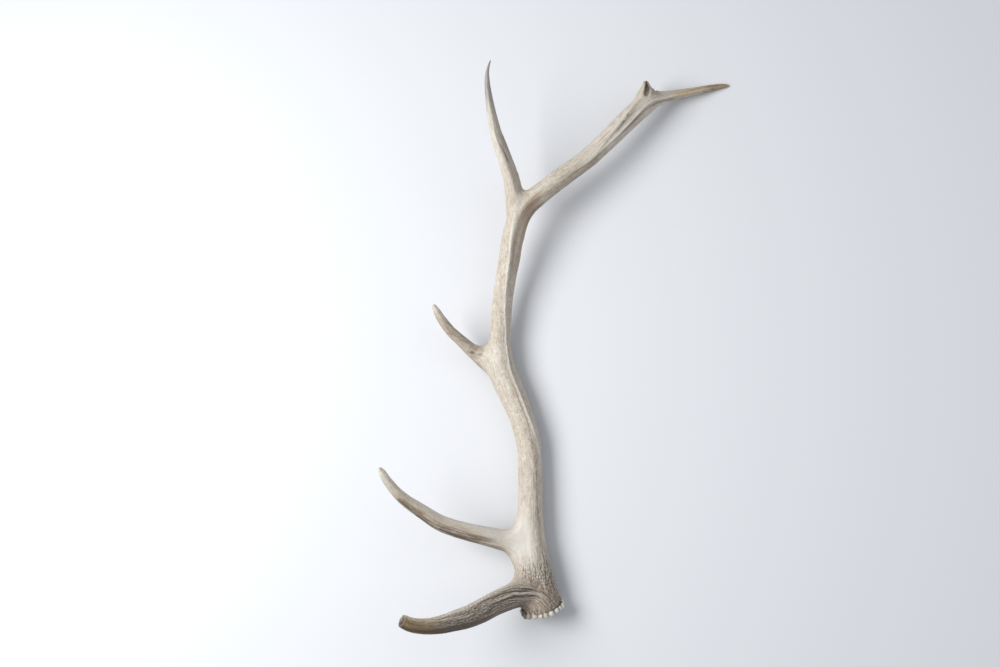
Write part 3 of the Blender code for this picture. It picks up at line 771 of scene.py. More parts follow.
# the face beside the crest, up to the fork, is darkened a dull brown: painted shade on the face turned from the light
crest = keys(sb, [(442, 42), (462, 35), (492, 25), (514, 19), (543, 15), (594, 6), (619, 2), (643, -5), (661, -9), (690, -12), (715, -16), (740, -10)])
crest_side_shade = keys(sb, [(560, 0.58), (600, 0.64), (640, 1.0)]) * step(sb, 505, 590) * (1 - step(sb, 688, 726)) * step(deg - crest, 0, 9) * beam_own
tint = mix(tint, TAN * np.array((0.90, 0.84, 0.82)), 0.80 * crest_side_shade)
# painted shade: darker still on that face just below the fork
tint = mix(tint, TAN * np.array((0.62, 0.57, 0.55)), 0.58 * step(sb, 618, 646) * (1 - step(sb, 682, 712)) * step(deg - crest, 4, 16) * beam_own)
tint = dim(tint, (0.70, 0.62, 0.56), 0.45 * crest_side_shade * step(long1, -0.1, 0.6))
tint = mix(tint, IVORY * 0.96, 0.76 * calm_patch)
tint = mix(tint, IVORY * np.array((0.96, 0.97, 0.94)), 0.7 * ball_at((-120, -10, 46), 17) * (1 - 0.5 * step(blotch, 0.1, 0.4)))
# lower beam: a darker speckled band down its far side
band = np.exp(-(wrap(ab - np.radians(keys(sb, [(0, 60), (60, 52), (110, 42), (170, 33), (202, 31), (228, 26), (255, 18), (290, 10), (340, 8)]))) / 0.20) ** 2)
band *= step(sb, 30, 80) * (1 - step(sb, 262, 330))
tint = mix(tint, UMBER * 1.3, band * np.clip(0.45 + 0.9 * fleck + 0.5 * long2, 0.1, 0.9) * 0.68)
# upper beam: a clean pale face, a greyer channel with a pale ridge in it, a dark groove below
face_edge = keys(sb, [(760, 46), (803, 37), (837, 28), (862, 14), (900, -20), (934, -42), (965, -56)])
on_upper = step(sb, 770, 815) * (1 - step(sb, 965, 990)) * beam_own
tint = mix(tint, np.array((0.69, 0.645, 0.555)), 0.62 * on_upper * step(face_edge - deg, -3, 10) * (1 - 0.5 * step(blotch, 0.1, 0.5)))
tint = mix(tint, GREY * 1.35, 0.50 * step(sb, 840, 880) * (1 - step(sb, 965, 1000)) * beam_own * step(deg - face_edge, 0, 8) * (1 - step(deg, 44, 60)))
groove_line = np.exp(-((deg - keys(sb, [(855, 42), (879, 37), (908, 34), (934, 32), (961, 37), (979, 45), (1002, 52)])) / 7.5) ** 2)
tint = mix(tint, UMBER * 1.4, 0.55 * groove_line * step(sb, 862, 900) * (1 - step(sb, 985, 1010)) * beam_own)
ridge_line = np.exp(-((deg - keys(sb, [(845, 24), (870, 24), (902, 21), (929, 12), (954, 9), (979, 15), (1010, 12)])) / 5.5) ** 2)
tint = mix(tint, IVORY * 0.97, 0.70 * ridge_line * step(sb, 835, 865) * (1 - step(sb, 990, 1020)) * beam_own)
face_line = np.exp(-((deg - face_edge - 4) / 4.0) ** 2) * step(sb, 866, 884) * (1 - step(sb, 915, 930))
tint = mix(tint, UMBER * 0.9, 0.75 * face_line * step(fleck + blotch, -0.1, 0.5) * beam_own)
tint = dim(tint, (0.76, 0.73, 0.68), 0.85 * step(sb, 700, 728) * (1 - step(sb, 800, 860)) * step(deg, 6, 34) * beam_own)
# the sides turned away from the camera are darkened a little: painted shade
tint = mix(tint, TAN * 0.85, 0.35 * step(np.abs(deg), 85, 150) * beam_own)
# the foot: brown-grey, dark in its furrows
foot_tone = (1 - step(sb, 28, 86)) * (1 - 0.9 * calm_patch)
tint = mix(tint, UMBER * np.array((1.22, 1.22, 1.22)), 0.82 * foot_tone * (1 - 0.35 * step(pearl, 0.3, 0.7)))
tint = mix(tint, SOOT * 2.3, 0.55 * np.exp(-((sb - 52) / 26) ** 2) * weave * (1 - calm_patch) * beam_own * step(deg, -75, -30))
tint = mix(tint, CREAM * 0.9, 0.40 * np.exp(-((sb - 56) / 20) ** 2) * step(pearl, 0.25, 0.7) * (1 - 0.5 * swirl_share))
# bez tine: pale above, dark brown and streaked below, a bare tip
bd = np.degrees(a_bez)
long_bez = step(s_bez + 14 * long1, 34, 104) * (1 - step(s_bez + 16 * blotch, 218, 244))
stain = step(-bd, -26, 12) * (1 - step(-bd, 150, 178))
tint = mix(tint, TAN * np.array((1.14, 1.12, 1.06)), bez_own * 0.42 * step(s_bez, 60, 100) * (1 - step(s_bez, 215, 262)))
tint = mix(tint, TAN * 0.78, bez_own * long_bez * step(-bd, -22, 14) * (0.34 + 0.8 * long1))
tint = mix(tint, UMBER * 1.12, bez_own * long_bez * stain * np.clip(0.60 + 0.75 * long1 + 1.0 * long2 + 0.6 * blotch + 0.4 * fleck, 0.10, 0.92))
tint = mix(tint, UMBER * 0.40, bez_own * long_bez * step(-bd, 2, 42) * (1 - step(-bd, 150, 178)) * np.clip(0.56 + 0.8 * long1 + 0.8 * long2, 0.10, 0.84))
tint = mix(tint, IVORY * 0.97, bez_own * 0.75 * long_bez * step(bd, 34, 66) * (1 - step(bd, 140, 170)))
tint = mix(tint, np.array((0.60, 0.57, 0.485)), bez_own * 0.78 * step(s_bez, 232, 272))
# darker brown, in streaks, from the tine's underside down the beam's edge and in the crotch under the bez root
edge_run = np.exp(-((sb - 84) / 26) ** 2) * np.exp(-(wrap(ab - math.radians(-96)) / 0.42) ** 2)
tint = mix(tint, UMBER * 1.05, 0.62 * edge_run * np.clip(0.8 + 0.6 * long1, 0.3, 1))
tint = mix(tint, UMBER * 1.05, 0.66 * bez_own * step(s_bez, 22, 46) * (1 - step(s_bez, 60, 90)) * step(-bd, 24, 62) * (1 - step(-bd, 150, 178)))
crotch = np.exp(-((s_bez - 46) / 26) ** 2) * step(-bd, 30, 66) * (1 - step(-bd, 140, 175))
tint = mix(tint, TAN * 0.72, 0.55 * share["bez"] * crotch * np.clip(0.8 + 0.7 * long1, 0.3, 1))
under_root = np.max(np.stack([ball_at((-112, -325, 53), 13), ball_at((-99, -334, 45), 13), ball_at((-90, -347, 40), 11)], -1), -1)
tint = mix(tint, TAN * 0.74, 0.62 * under_root * np.clip(0.75 + 0.8 * long1 + 0.4 * long2, 0.25, 1))
# trez tine: mottled, darker on its lower side
tint = mix(tint, TAN * np.array((1.05, 1.08, 1.12)), trez_own * 0.55 * step(s_trez, 40, 78) * (1 - step(s_trez, 130, 150)))
tint = mix(tint, UMBER * 1.6, trez_own * 0.62 * step(blotch + 0.5 * fleck, 0.02, 0.42) * step(s_trez, 36, 70) * (1 - step(s_trez, 128, 146)))
spot = np.exp(-(((s_trez - 64) / 3.8) ** 2 + (wrap(C["trez"][1] + 0.2) * 12 / 3.4) ** 2))
tint = mix(tint, SOOT * 1.7, trez_own * 0.85 * spot)
tint = mix(tint, IVORY * np.array((0.86, 0.86, 0.80)), trez_own * 0.8 * step(s_trez, 149, 160))
# painted shade: the lower side, turned from the light, is darker
tint = mix(tint, UMBER, trez_own * 0.55 * step(-np.degrees(C["trez"][1]), 45, 95))
# royal tine: pale along its outer edge, greyer towards the point
rd_ = np.degrees(C["royal"][1])
tint = mix(tint, IVORY * 0.97, royal_own * 0.6 * step(s_royal, 50, 110) * (1 - step(rd_, -34, 6)))
tint = mix(tint, GREY * 1.25, royal_own * 0.55 * step(s_royal, 60, 110) * step(rd_, -12, 26))
tint = mix(tint, GREY * 0.88, royal_own * 0.84 * step(s_royal, 172, 222))
streak = np.exp(-(wrap(C["royal"][1] - np.radians(keys(s_royal, [(95, 18), (112, 15), (130, 5), (150, -6)]))) / 0.15) ** 2)
tint = mix(tint, SOOT * 2.4, royal_own * 0.72 * streak * step(s_royal, 96, 106) * (1 - step(s_royal, 118, 142)))
tint = mix(tint, GREY * 0.8, royal_own * 0.8 * step(s_royal, 240, 258))
# brow tine: pale above, furrowed in the middle, dark and smooth below (brown stain, deepened with painted shade), olive
# at the broken end
under_edge = keys(s_brow, [(50, -40), (108, -25), (127, -17), (163, -9), (194, -4), (225, 2)])
top_side = step(lower, 46, 70) * (1 - step(lower, 158, 178))
under = step(under_edge - lower, -5, 10) * (1 - step(-lower, 158, 178))
brow_tone = np.repeat(np.array((0.300, 0.250, 0.198))[None], len(P), 0)
brow_tone = mix(brow_tone, TAN * 0.90, 0.45 * step(cloud2, 0.0, 0.5) * (1 - step(s_brow, 150, 200)))
brow_tone = mix(brow_tone, np.array((0.46, 0.425, 0.37)), 0.42 * step(np.abs(net_n), 0.35, 0.75))
brow_tone = mix(brow_tone, SOOT * 1.7, 0.80 * weave_zone * weave)
brow_tone = mix(brow_tone, np.array((0.68, 0.635, 0.56)), 0.88 * top_side * (0.88 + 0.35 * cloud2))
rib_mid = keys(s_sw, [(150, 8), (189, 23), (229, 41), (258, 54), (285, 70)])
brow_tone = mix(brow_tone, np.array((0.50, 0.43, 0.34)), 0.80 * np.exp(-((sw - rib_mid) / 8) ** 2) * step(s_sw, 165, 205))
# below: dark brown stain, made darker still to stand in for the shade under the tine: painted shade
brow_tone = mix(brow_tone, np.array((0.120, 0.085, 0.062)), under * (0.92 + 0.2 * cloud2))
# the lowest side, towards the floor, nearly black: painted shade
brow_tone = mix(brow_tone, np.array((0.040, 0.028, 0.021)), 0.85 * under * step(under_edge - lower, 22, 52))
tip_tone = mix(np.repeat(OLIVE[None] * 0.86, len(P), 0), np.array((0.60, 0.50, 0.36)), 0.85 * step(lower, 28, 72))
tip_tone = mix(tip_tone, np.array((0.085, 0.046, 0.024)), 0.90 * step(-lower, -8, 34))
brow_tone = mix(brow_tone, tip_tone, 0.92 * step(s_brow, 178, 222))
tint = mix(tint, brow_tone, brow_own * step(s_brow, 18, 50))
comb_dark = swirl_share * comb_zone * np.clip(combed * 1.25, 0, 1)
tint = mix(tint, SOOT * 1.2, 0.88 * comb_dark * (1 - step(s_brow, 176, 216)) * (1 - 0.5 * weave_zone) * (1 - brow_own * top_side))
tint = mix(tint, CREAM * 0.80, 0.36 * swirl_share * comb_zone * step(0.28 - combed, 0.1, 0.28) * (1 - step(s_sw, 220, 275)) * (0.7 + 0.8 * cloud2))
tint = mix(tint, SOOT * 1.4, 0.76 * furrow_tone * swirl_share)
tint = mix(tint, CREAM * 0.86, 0.60 * rib_tone * swirl_share * (1 - step(s_sw, 120, 160)))
tint = mix(tint, np.array((0.055, 0.048, 0.043)), hollow * 0.97)
tint = mix(tint, np.array((0.17, 0.145, 0.12)), end * (1 - hollow) * 0.85)
# crown stub and terminal tine
tint = mix(tint, np.array((0.60, 0.53, 0.39)), 0.6 * stub_own * step(sS, 8, 24) * (1 - step(np.degrees(aS), -32, -14)))
tint = mix(tint, GREY * 0.60, 0.8 * stub_own * step(sS, 16, 26) * step(np.degrees(aS), 30, 46))
tint = mix(tint, np.array((0.050, 0.034, 0.026)), stub_own * np.clip(split * 1.7, 0, 1) * 0.97)
tint = mix(tint, UMBER * 1.2, stub_own * step(sS, 36, 41) * 0.7)
tint = mix(tint, np.array((0.50, 0.39, 0.225)), 0.82 * step(sb, 980, 1014) * beam_own * (0.8 + 0.6 * cloud) * (1 - step(deg, 10, 50)))
tint = mix(tint, UMBER * 1.05, 0.80 * beam_own * step(sb, 975, 1030) * step(deg, -6, 44) * (0.75 + 0.8 * long1))
tint = mix(tint, UMBER * 1.3, 0.5 * beam_own * step(sb, 1040, 1056) * (0.8 + 0.8 * blotch))
tint = dim(tint, (0.60, 0.53, 0.46), 0.75 * beam_own * step(sb, 985, 1020) * step(long2 + 0.3 * long1, -0.02, 0.42))
tint = mix(tint, UMBER * 0.8, 0.85 * chip)
tint = mix(tint, OLIVE * 1.2, 0.5 * beam_own * step(sb, 1070, 1084))
# strands, furrows and ridge tops
line_amt = 0.30 + 0.14 * others - 0.10 * mid_beam
tint = dim(tint, (0.66, 0.59, 0.53), line_amt * step(long1, 0.10, 0.55) * (1 - 0.7 * calm_patch))
tint = dim(tint, (0.52, 0.44, 0.38), 0.34 * step(long2, 0.22, 0.70) * (1 - 0.8 * calm_patch) * (1 - 0.4 * mid_beam))
dark_in = np.clip(0.34 + 0.9 * foot + 0.6 * brow_own + 0.3 * bez_own, 0, 1) * (1 - 0.6 * calm_patch)
tint = mix(tint, SOOT * 1.2, dark_in * 0.85 * step(deep, 0.12, 0.85))
tint = mix(tint, CREAM, 0.45 * np.clip(foot + 0.5 * brow_own, 0, 1) * step(high, 0.2, 0.85) * (1 - step(s_brow, 170, 210) * brow_own) * (1 - under * brow_own))
# dirt and painted shadow of the brow tine in the corner under it, behind the ring
tint = mix(tint, SOOT * 1.3, 0.8 * ball_at((-70, -421, 34), 17))
# the ring of pearls and the shed face
rad_dir = unit(P0 - BURR_C - burr_h[:, None] * BURR_N)
ring_d = burr_d / (1 + 0.095 * (rad_dir @ CAM_RIGHT) ** 2)
ring_zone = (1 - step(burr_h, 3.0, 7.5)) * (burr_h > -12)
per_bead = noise(np.stack([np.arctan2(rad_dir @ CAM_UP, rad_dir @ CAM_RIGHT) * 3.7, 0 * sb, 0 * sb], -1), 171)
# beads darkened at random as dirt, and on the left, in the brow tine's shadow, as painted shadow
bead_dirt_and_shade = np.clip(0.12 + 0.70 * per_bead + 0.75 * step(-(rad_dir @ CAM_RIGHT), 0.30, 0.85) * step(rad_dir @ CAM_DIR, -0.2, 0.5), 0, 0.85)
tint = mix(tint, BEADS, ring_zone * step(ring_d, 29.6, 31.2) * (burr_d < 45))
tint = mix(tint, UMBER * 1.3, ring_zone * step(ring_d, 29.6, 31.2) * bead_dirt_and_shade)
near_ring = np.where((ring_zone > 0) & (burr_d > 24) & (burr_d < 45))[0]
to_beads = np.sort(np.stack([((P0[near_ring] - b) ** 2).sum(1) for b in BEAD_AT], -1), -1)
gap = np.zeros(len(P))
gap[near_ring] = step(np.sqrt(to_beads[:, 0] / to_beads[:, 1]), 0.56, 0.86)
# painted shade in the gaps between the beads
tint = mix(tint, SOOT * 1.4, 0.80 * gap * ring_zone * step(ring_d, 28.0, 30.0))
# painted shadow of the brow tine, with dirt: the ring's left side, towards the camera, nearly black
tint = mix(tint, SOOT * 1.5, 0.85 * (1 - step(burr_h, 5.0, 10.0)) * (burr_h > -12) * (burr_d < 46) * (burr_d > 24) * step(-(rad_dir @ CAM_RIGHT), 0.62, 0.92) * step(rad_dir @ CAM_DIR, -0.4, 0.3))
tint = mix(tint, SOOT * 0.9, (1 - step(burr_h, 4.0, 9.0)) * (burr_h > -9) * step(ring_d, 26.3, 28.6) * (1 - step(ring_d, 29.4, 30.8)) * (0.55 + 0.3 * step(np.abs(rad_dir @ CAM_RIGHT), 0.5, 0.9)) * (burr_h > -1.5))
# painted shade in the ring's hollows
tint = mix(tint, SOOT, at_burr * step(deep, 0.14, 0.62) * 0.88)
tint = mix(tint, TAN * 0.9, seal * (0.75 + 0.3 * cloud))
tint = mix(tint, UMBER * 0.8, seal * step(deep, 0.1, 0.7) * 0.8)
tint = np.clip(tint, 0.02, 0.9)

speckle = np.clip(0.42 + 0.45 * step(sb, 180, 260) * (1 - step(sb, 640, 720)) * step(front, 0.2, 0.7) + 0.35 * cloud, 0, 1)
speckle = speckle * (1 - others) + others * 0.38 + 0.45 * trez_own * (1 - step(s_trez, 110, 150)) + 0.3 * bez_own * long_bez
speckle = np.clip(speckle * (1 - 0.8 * calm_patch) * (1 - 0.8 * at_burr), 0, 1)
polish = np.clip(brow_own * step(s_brow, 180, 225) + 0.45 * brow_own * under + bez_own * step(s_bez, 215, 262) + trez_own * step(s_trez, 120, 152)
                 + royal_own * step(s_royal, 130, 210) + step(sb, 990, 1060) * beam_own * 0.6 + 0.3 * calm_patch, 0, 1)
strand_amt = np.clip(0.52 + 0.28 * others + 0.10 * step(sb, 700, 760) - 0.6 * at_burr - 0.5 * calm_patch - 0.8 * seal, 0, 1)

# ------------------------------------------------------------------ pieces
print("tones done")
PIECES = {  # node: material slot
    "antler_base": "base_bone", "brow_tine": "dark_tine", "bez_tine": "tine_bone", "beam_lower": "beam_bone",
    "trez_tine": "tine_bone", "beam_middle": "beam_bone", "royal_tine": "tine_bone", "beam_upper": "beam_bone",
    "crown_stub": "broken_tip", "terminal_tine": "tine_bone",
}
OUTER = {"brow": "brow_tine", "bez": "bez_tine", "trez": "trez_tine", "royal": "royal_tine", "stub": "crown_stub"}
ORDER = ["antler_base", "beam_lower", "beam_middle", "beam_upper", "terminal_tine"]
BEAM_CUTS = ["lower", "middle", "upper", "terminal"]


def plane(name):
    limb, dist, half = SAWS[name]
    ax = AXES[limb]
    k = int(round(dist / ax.length * (len(ax.s) - 1)))
    return ax.p[k] - (0, 0, FLOOR_BITE), ax.t[k], half


PLANES = {n: plane(n) for n in SAWS}


def beyond(name, pts, slack):
    """How far points are past a saw line, and whether they are close enough to it to be cut."""
    c, t, half = PLANES[name]
    h = (pts - c) @ t
    side = np.linalg.norm(pts - c - h[:, None] * t, axis=1)
    return h, (side < half) & (np.abs(h) < slack)


FC = P[Q].mean(1)
face_of = lambda x: x[Q].mean(1)
fs = {n: face_of(C[n][0]) for n in AXES}
limb_names = ["beam"] + tines
fnear = np.stack([face_of(near[n]) for n in limb_names], -1)
limb_id = fnear.argmin(1)
region = np.zeros(len(Q), int)
for i, cut in enumerate(BEAM_CUTS):
    region[fs["beam"] > SAWS[cut][1]] = i + 1
for cut in BEAM_CUTS:  # exact near the saw line
    h, close = beyond(cut, FC, 12)
    i = BEAM_CUTS.index(cut)
    region[close & (h > 0)] = i + 1
    region[close & (h <= 0)] = i
names = list(ORDER)
fork_home = {"brow": 0, "bez": 0, "trez": 1, "royal": 2, "stub": 3}
for tine, node in OUTER.items():
    names.append(node)
    idx = len(names) - 1
    k = limb_names.index(tine)
    cut = tine
    mine = limb_id == k
    region[mine] = fork_home[tine]
    region[mine & (fs[tine] > SAWS[cut][1])] = idx
    h, close = beyond(cut, FC, 10)
    # only faces of this tine are near its saw line
    region[close & (h > 0) & (fs[tine] > SAWS[cut][1] - 12)] = idx
    region[close & (h <= 0)] = fork_home[tine]

CUTS_OF = {n: [] for n in names}
for i, cut in enumerate(BEAM_CUTS):
    CUTS_OF[ORDER[i]].append((cut, +1))        # keep what is below it
    CUTS_OF[ORDER[i + 1]].append((cut, -1))    # keep what is past it
for tine, node in OUTER.items():
    CUTS_OF[ORDER[fork_home[tine]]].append((tine, +1))
    CUTS_OF[node].append((tine, -1))

HALF_GAP = 0.02


def bone_material(name):
    mat = bpy.data.materials.new(name)
    mat.use_nodes = True
    nt = mat.node_tree
    nt.nodes.clear()
    add = nt.nodes.new
    link = nt.links.new

    def attr(n):
        a = add("ShaderNodeAttribute")
        a.attribute_name = n
        return a

    def math_node(op, a, b=None, clamp=False):
        m = add("ShaderNodeMath")
        m.operation = op
        m.use_clamp = clamp
        for sock, val in ((0, a), (1, b)):
            if val is None:
                continue
            if isinstance(val, (int, float)):
                m.inputs[sock].default_value = val
            else:
                link(val, m.inputs[sock])
        return m.outputs[0]

    def mix_colour(fac, a, b, blend="MIX"):
        m = add("ShaderNodeMix")
        m.data_type = "RGBA"
        m.blend_type = blend
        for sock, val in ((m.inputs[0], fac), (m.inputs[6], a), (m.inputs[7], b)):
            if isinstance(val, (int, float)):
                sock.default_value = val
            elif isinstance(val, tuple):
                sock.default_value = (*val, 1.0)
            else:
                link(val, sock)
        return m.outputs[2]

    def mapping(vec, scale):
        m = add("ShaderNodeMapping")
        m.vector_type = "POINT"
        m.inputs["Scale"].default_value = scale
        link(vec, m.inputs["Vector"])
        return m.outputs[0]

    def noise_tex(vec, scale, detail=2.0, rough=0.5, dist=0.0):
        t = add("ShaderNodeTexNoise")
        t.inputs["Scale"].default_value = scale
        t.inputs["Detail"].default_value = detail
        t.inputs["Roughness"].default_value = rough
        t.inputs["Distortion"].default_value = dist
        link(vec, t.inputs["Vector"])
        return t.outputs["Fac"]

    def ramp(val, lo, hi, a=0.0, b=1.0):
        m = add("ShaderNodeMapRange")
        m.interpolation_type = "SMOOTHSTEP"
        for n, x in (("From Min", lo), ("From Max", hi), ("To Min", a), ("To Max", b)):
            m.inputs[n].default_value = x
        link(val, m.inputs["Value"])
        return m.outputs["Result"]

    tint_c = attr("tint").outputs["Color"]
    mask = attr("mask").outputs["Color"]
    sep = add("ShaderNodeSeparateColor")
    link(mask, sep.inputs["Color"])
    speck, strand, shine = sep.outputs[0], sep.outputs[1], sep.outputs[2]
    fa, fb, fm = attr("flow_a").outputs["Vector"], attr("flow_b").outputs["Vector"], attr("flow_mix").outputs["Fac"]

    def along(scale_across, scale_along, detail, dist=0.0):
        """A pattern stretched along the limb, blended from beam to tine."""
        vals = []
        for v in (fa, fb):
            vals.append(noise_tex(mapping(v, (scale_across, scale_across, scale_along)), 1.0, detail, 0.55, dist))
        inv = math_node("SUBTRACT", 1.0, fm)
        return math_node("ADD", math_node("MULTIPLY", vals[0], inv), math_node("MULTIPLY", vals[1], fm))

    hair = along(0.95, 0.045, 2.0)          # fine lengthwise lines, about 1 mm apart
    grain = along(0.36, 0.05, 3.0, 0.3)     # wider bands
    dots = along(0.62, 0.34, 2.0, 0.6)      # speckle, a little longer than wide
    geo = add("ShaderNodeTexCoord").outputs["Object"]
    dust = noise_tex(geo, 900.0, 2.0, 0.6)
    mottle = noise_tex(geo, 60.0, 3.0, 0.55)

    col = tint_c
    for pattern, lo, hi, how_much, amount, colour in (
            (grain, 0.44, 0.68, strand, 0.42, (0.74, 0.66, 0.59)), (hair, 0.52, 0.70, strand, 0.46, (0.58, 0.49, 0.42)),
            (hair, 0.46, 0.30, strand, 0.40, (1.20, 1.19, 1.17)), (dots, 0.51, 0.63, speck, 0.62, (0.62, 0.52, 0.44)),
            (dots, 0.45, 0.34, speck, 0.45, (1.16, 1.15, 1.13)), (mottle, 0.36, 0.66, 1.0, 0.35, (0.90, 0.885, 0.865))):
        col = mix_colour(math_node("MULTIPLY", ramp(pattern, lo, hi), math_node("MULTIPLY", how_much, amount)), col, colour, "MULTIPLY")
    bsdf = add("ShaderNodeBsdfPrincipled")
    link(col, bsdf.inputs["Base Color"])
    rough = math_node("ADD", 0.60, math_node("MULTIPLY", ramp(dots, 0.3, 0.7), 0.10))
    rough = math_node("SUBTRACT", rough, math_node("MULTIPLY", shine, 0.24), True)
    link(rough, bsdf.inputs["Roughness"])
    bsdf.inputs["Specular IOR Level"].default_value = 0.42
    height = math_node("ADD", math_node("MULTIPLY", math_node("MULTIPLY", hair, strand), 0.7),
                       math_node("ADD", math_node("MULTIPLY", math_node("MULTIPLY", dots, speck), 0.55), math_node("MULTIPLY", dust, 0.12)))
    bump = add("ShaderNodeBump")
    bump.inputs["Strength"].default_value = 0.55
    bump.inputs["Distance"].default_value = 0.0006
    link(height, bump.inputs["Height"])
    link(bump.outputs["Normal"], bsdf.inputs["Normal"])
    out = add("ShaderNodeOutputMaterial")
    link(bsdf.outputs["BSDF"], out.inputs["Surface"])
    return mat


materials = {}
for slot_name in dict.fromkeys(PIECES.values()):
    materials[slot_name] = bone_material(slot_name)

ATTRS = np.concatenate([tint, np.stack([speckle, strand_amt, polish], -1), flow_beam, flow_tine, tine_share[:, None], N2], 1)


def build_piece(node):
    idx = names.index(node)
    keep = region == idx
    for cut, sign in CUTS_OF[node]:  # a little past each saw line, to be cut off exactly
        h, close = beyond(cut, FC, 3.0 + VOXEL)
        keep |= close & (h * sign > -1) & (np.abs(h) < 2.5 * VOXEL)
    used = np.unique(Q[keep])
    remap = np.full(len(P), -1)
    remap[used] = np.arange(len(used))
    quads = remap[Q[keep]]
    me = bpy.data.meshes.new(node + "_skin")
    me.from_pydata((P[used] * 0.001), [], quads.tolist())
    bm = bmesh.new()
    bm.from_mesh(me)
    layers = [bm.verts.layers.float.new("a%d" % k) for k in range(ATTRS.shape[1])]
    A = ATTRS[used]
    bm.verts.ensure_lookup_table()
    for k, lay in enumerate(layers):
        col = A[:, k].tolist()
        for v, x in zip(bm.verts, col):
            v[lay] = x
    for cut, sign in CUTS_OF[node]:
        c, t, half = PLANES[cut]
        pts = np.array([v.co[:] for v in bm.verts]) * 1000.0
        h = (pts - c) @ t
        side = np.linalg.norm(pts - c - h[:, None] * t, axis=1)
        ok = (side < half + 6) & (np.abs(h) < 6 * VOXEL + 4)
        bm.verts.ensure_lookup_table()
        near_v = {v for v, o in zip(bm.verts, ok) if o}
        faces = [f for f in bm.faces if all(v in near_v for v in f.verts)]
        geom = list({e for f in faces for e in f.edges}) + faces + list({v for f in faces for v in f.verts})
        bmesh.ops.bisect_plane(bm, geom=geom, dist=1e-7, plane_co=Vector((c + t * (-sign * HALF_GAP)) * 0.001),
                               plane_no=Vector(t * sign), clear_outer=True, clear_inner=False)
        gone = [v for v in bm.verts if (Vector(v.co) * 1000 - Vector(c)).dot(Vector(t)) * sign > 0.01
                and ((Vector(v.co) * 1000 - Vector(c)).length < half + 3) and not v.link_faces]
        if gone:
            bmesh.ops.delete(bm, geom=gone, context="VERTS")
    # the open cuts are capped
    bm.verts.ensure_lookup_table()
    edges = [e for e in bm.edges if e.is_boundary]
    res = bmesh.ops.holes_fill(bm, edges=edges, sides=0)
    for f in res["faces"]:
        f.smooth = False
    bm.verts.index_update()
    n = len(bm.verts)
    vals = np.empty((n, len(layers)))
    for k, lay in enumerate(layers):
        vals[:, k] = [v[lay] for v in bm.verts]
    for lay_name in ["a%d" % k for k in range(ATTRS.shape[1])]:
        bm.verts.layers.float.remove(bm.verts.layers.float[lay_name])
    bm.to_mesh(me)
    bm.free()
    me.update()
    tot = np.empty(len(me.polygons), np.int32)
    me.polygons.foreach_get("loop_total", tot)
    cap = tot > 6
    smooth = ~cap
    me.polygons.foreach_set("use_smooth", smooth)

    def put(name, kind, data, width):
        a = me.attributes.new(name, kind, "POINT")
        a.data.foreach_set("color" if kind == "FLOAT_COLOR" else ("vector" if kind == "FLOAT_VECTOR" else "value"),
                           np.ascontiguousarray(data, np.float32).ravel())
    one = np.ones((n, 1))
    put("tint", "FLOAT_COLOR", np.hstack([vals[:, 0:3], one]), 4)
    put("mask", "FLOAT_COLOR", np.hstack([vals[:, 3:6], one]), 4)
    put("flow_a", "FLOAT_VECTOR", vals[:, 6:9], 3)
    put("flow_b", "FLOAT_VECTOR", vals[:, 9:12], 3)
    put("flow_mix", "FLOAT", vals[:, 12], 1)
    # the whole skin's own normals, so that no line shows at a saw cut
    ln = np.empty(len(me.loops), np.int32)
    me.loops.foreach_get("vertex_index", ln)
    nn = unit(vals[:, 13:16])[ln]
    poly_of_loop = np.repeat(np.arange(len(me.polygons)), tot)
    pn = np.empty(len(me.polygons) * 3, np.float32)
    me.polygons.foreach_get("normal", pn)
    pn = pn.reshape(-1, 3)
    nn[cap[poly_of_loop]] = pn[poly_of_loop][cap[poly_of_loop]]
    me.normals_split_custom_set(nn.tolist())
    me.materials.append(materials[PIECES[node]])
    ob = bpy.data.objects.new(node + "_skin", me)
    bpy.context.scene.collection.objects.link(ob)
    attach(ob, "root")
    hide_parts(node)
    return ob


for node in PIECES:
    ob = build_piece(node)
    print(node, len(ob.data.vertices), "points")

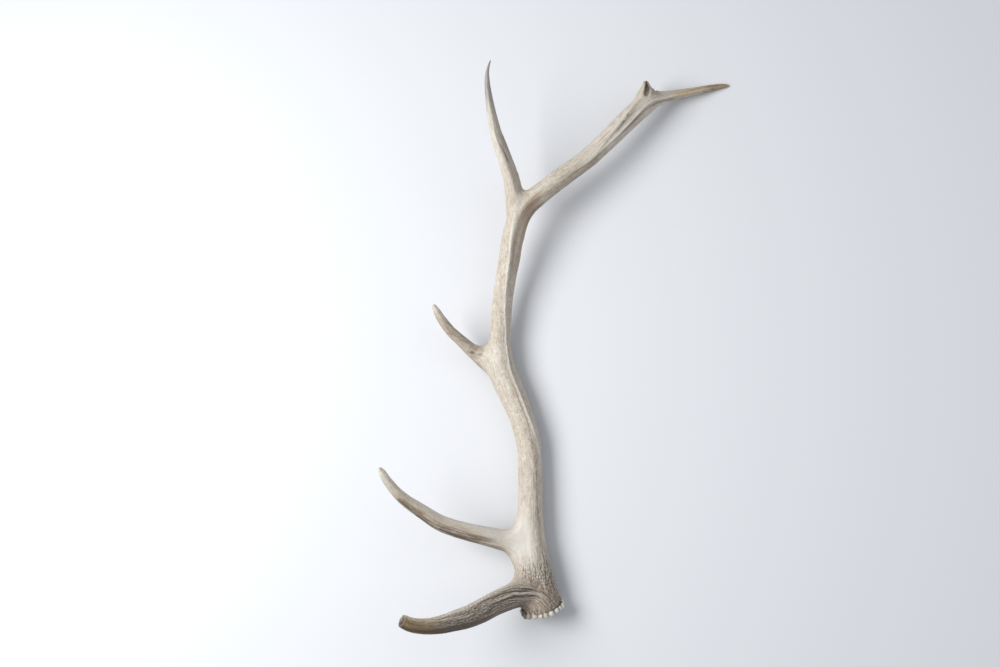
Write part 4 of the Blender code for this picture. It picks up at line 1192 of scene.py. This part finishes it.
# ------------------------------------------------------------------ stage
floor_me = bpy.data.meshes.new("floor")
bm = bmesh.new()
bmesh.ops.create_grid(bm, x_segments=1, y_segments=1, size=6.0)
bm.to_mesh(floor_me)
bm.free()
floor = bpy.data.objects.new("floor", floor_me)
bpy.context.scene.collection.objects.link(floor)
fm = bpy.data.materials.new("floor")
fm.use_nodes = True
fb = fm.node_tree.nodes["Principled BSDF"]
fb.inputs["Base Color"].default_value = (0.717, 0.729, 0.750, 1)
fb.inputs["Roughness"].default_value = 0.9
fb.inputs["Specular IOR Level"].default_value = 0.1
floor_me.materials.append(fm)


def look(ob, pos, target):
    ob.location = Vector(pos)
    ob.rotation_euler = (Vector(target) - Vector(pos)).to_track_quat("-Z", "Y").to_euler()


def area(name, pos, target, size, power, colour):
    li = bpy.data.lights.new(name, "AREA")
    li.shape = "ELLIPSE"
    li.size, li.size_y = size
    li.energy = power
    li.color = colour
    ob = bpy.data.objects.new(name, li)
    bpy.context.scene.collection.objects.link(ob)
    look(ob, pos, target)
    return ob


def view_dir(right, up, toward):
    return right * CAM_RIGHT + up * CAM_UP + toward * CAM_DIR


aim = np.array((-0.05, 0.0, 0.05))
key = view_dir(-0.78, 0.14, 0.64)
key /= np.linalg.norm(key)
area("key", aim + key * 2.1, aim + view_dir(-0.1, 0, 0), (1.45, 1.45), 45.8, (1.0, 0.99, 0.985))
area("fill", aim + view_dir(0.5, 0.2, 0.9) * 2.6, aim, (2.2, 2.2), 9.0, (0.94, 0.97, 1.0))
world = bpy.data.worlds.new("world")
world.use_nodes = True
world.node_tree.nodes["Background"].inputs["Color"].default_value = (0.90, 0.94, 1.0, 1)
world.node_tree.nodes["Background"].inputs["Strength"].default_value = 0.42
bpy.context.scene.world = world

cam = bpy.data.cameras.new("camera")
cam.sensor_fit = "HORIZONTAL"
cam.sensor_width = 36.0
cam.lens = 1176.5 * 36.0 / 1000.0
cam.clip_start, cam.clip_end = 0.05, 50.0
cob = bpy.data.objects.new("camera", cam)
bpy.context.scene.collection.objects.link(cob)
right = unit(CAM_RIGHT)
back = unit(CAM_DIR)
up = unit(np.cross(back, right))
cob.matrix_world = Matrix([[right[k], up[k], back[k], CAM_POS[k] * 0.001] for k in range(3)] + [[0, 0, 0, 1]])
bpy.context.scene.camera = cob
bpy.context.scene.view_settings.view_transform = "Standard"
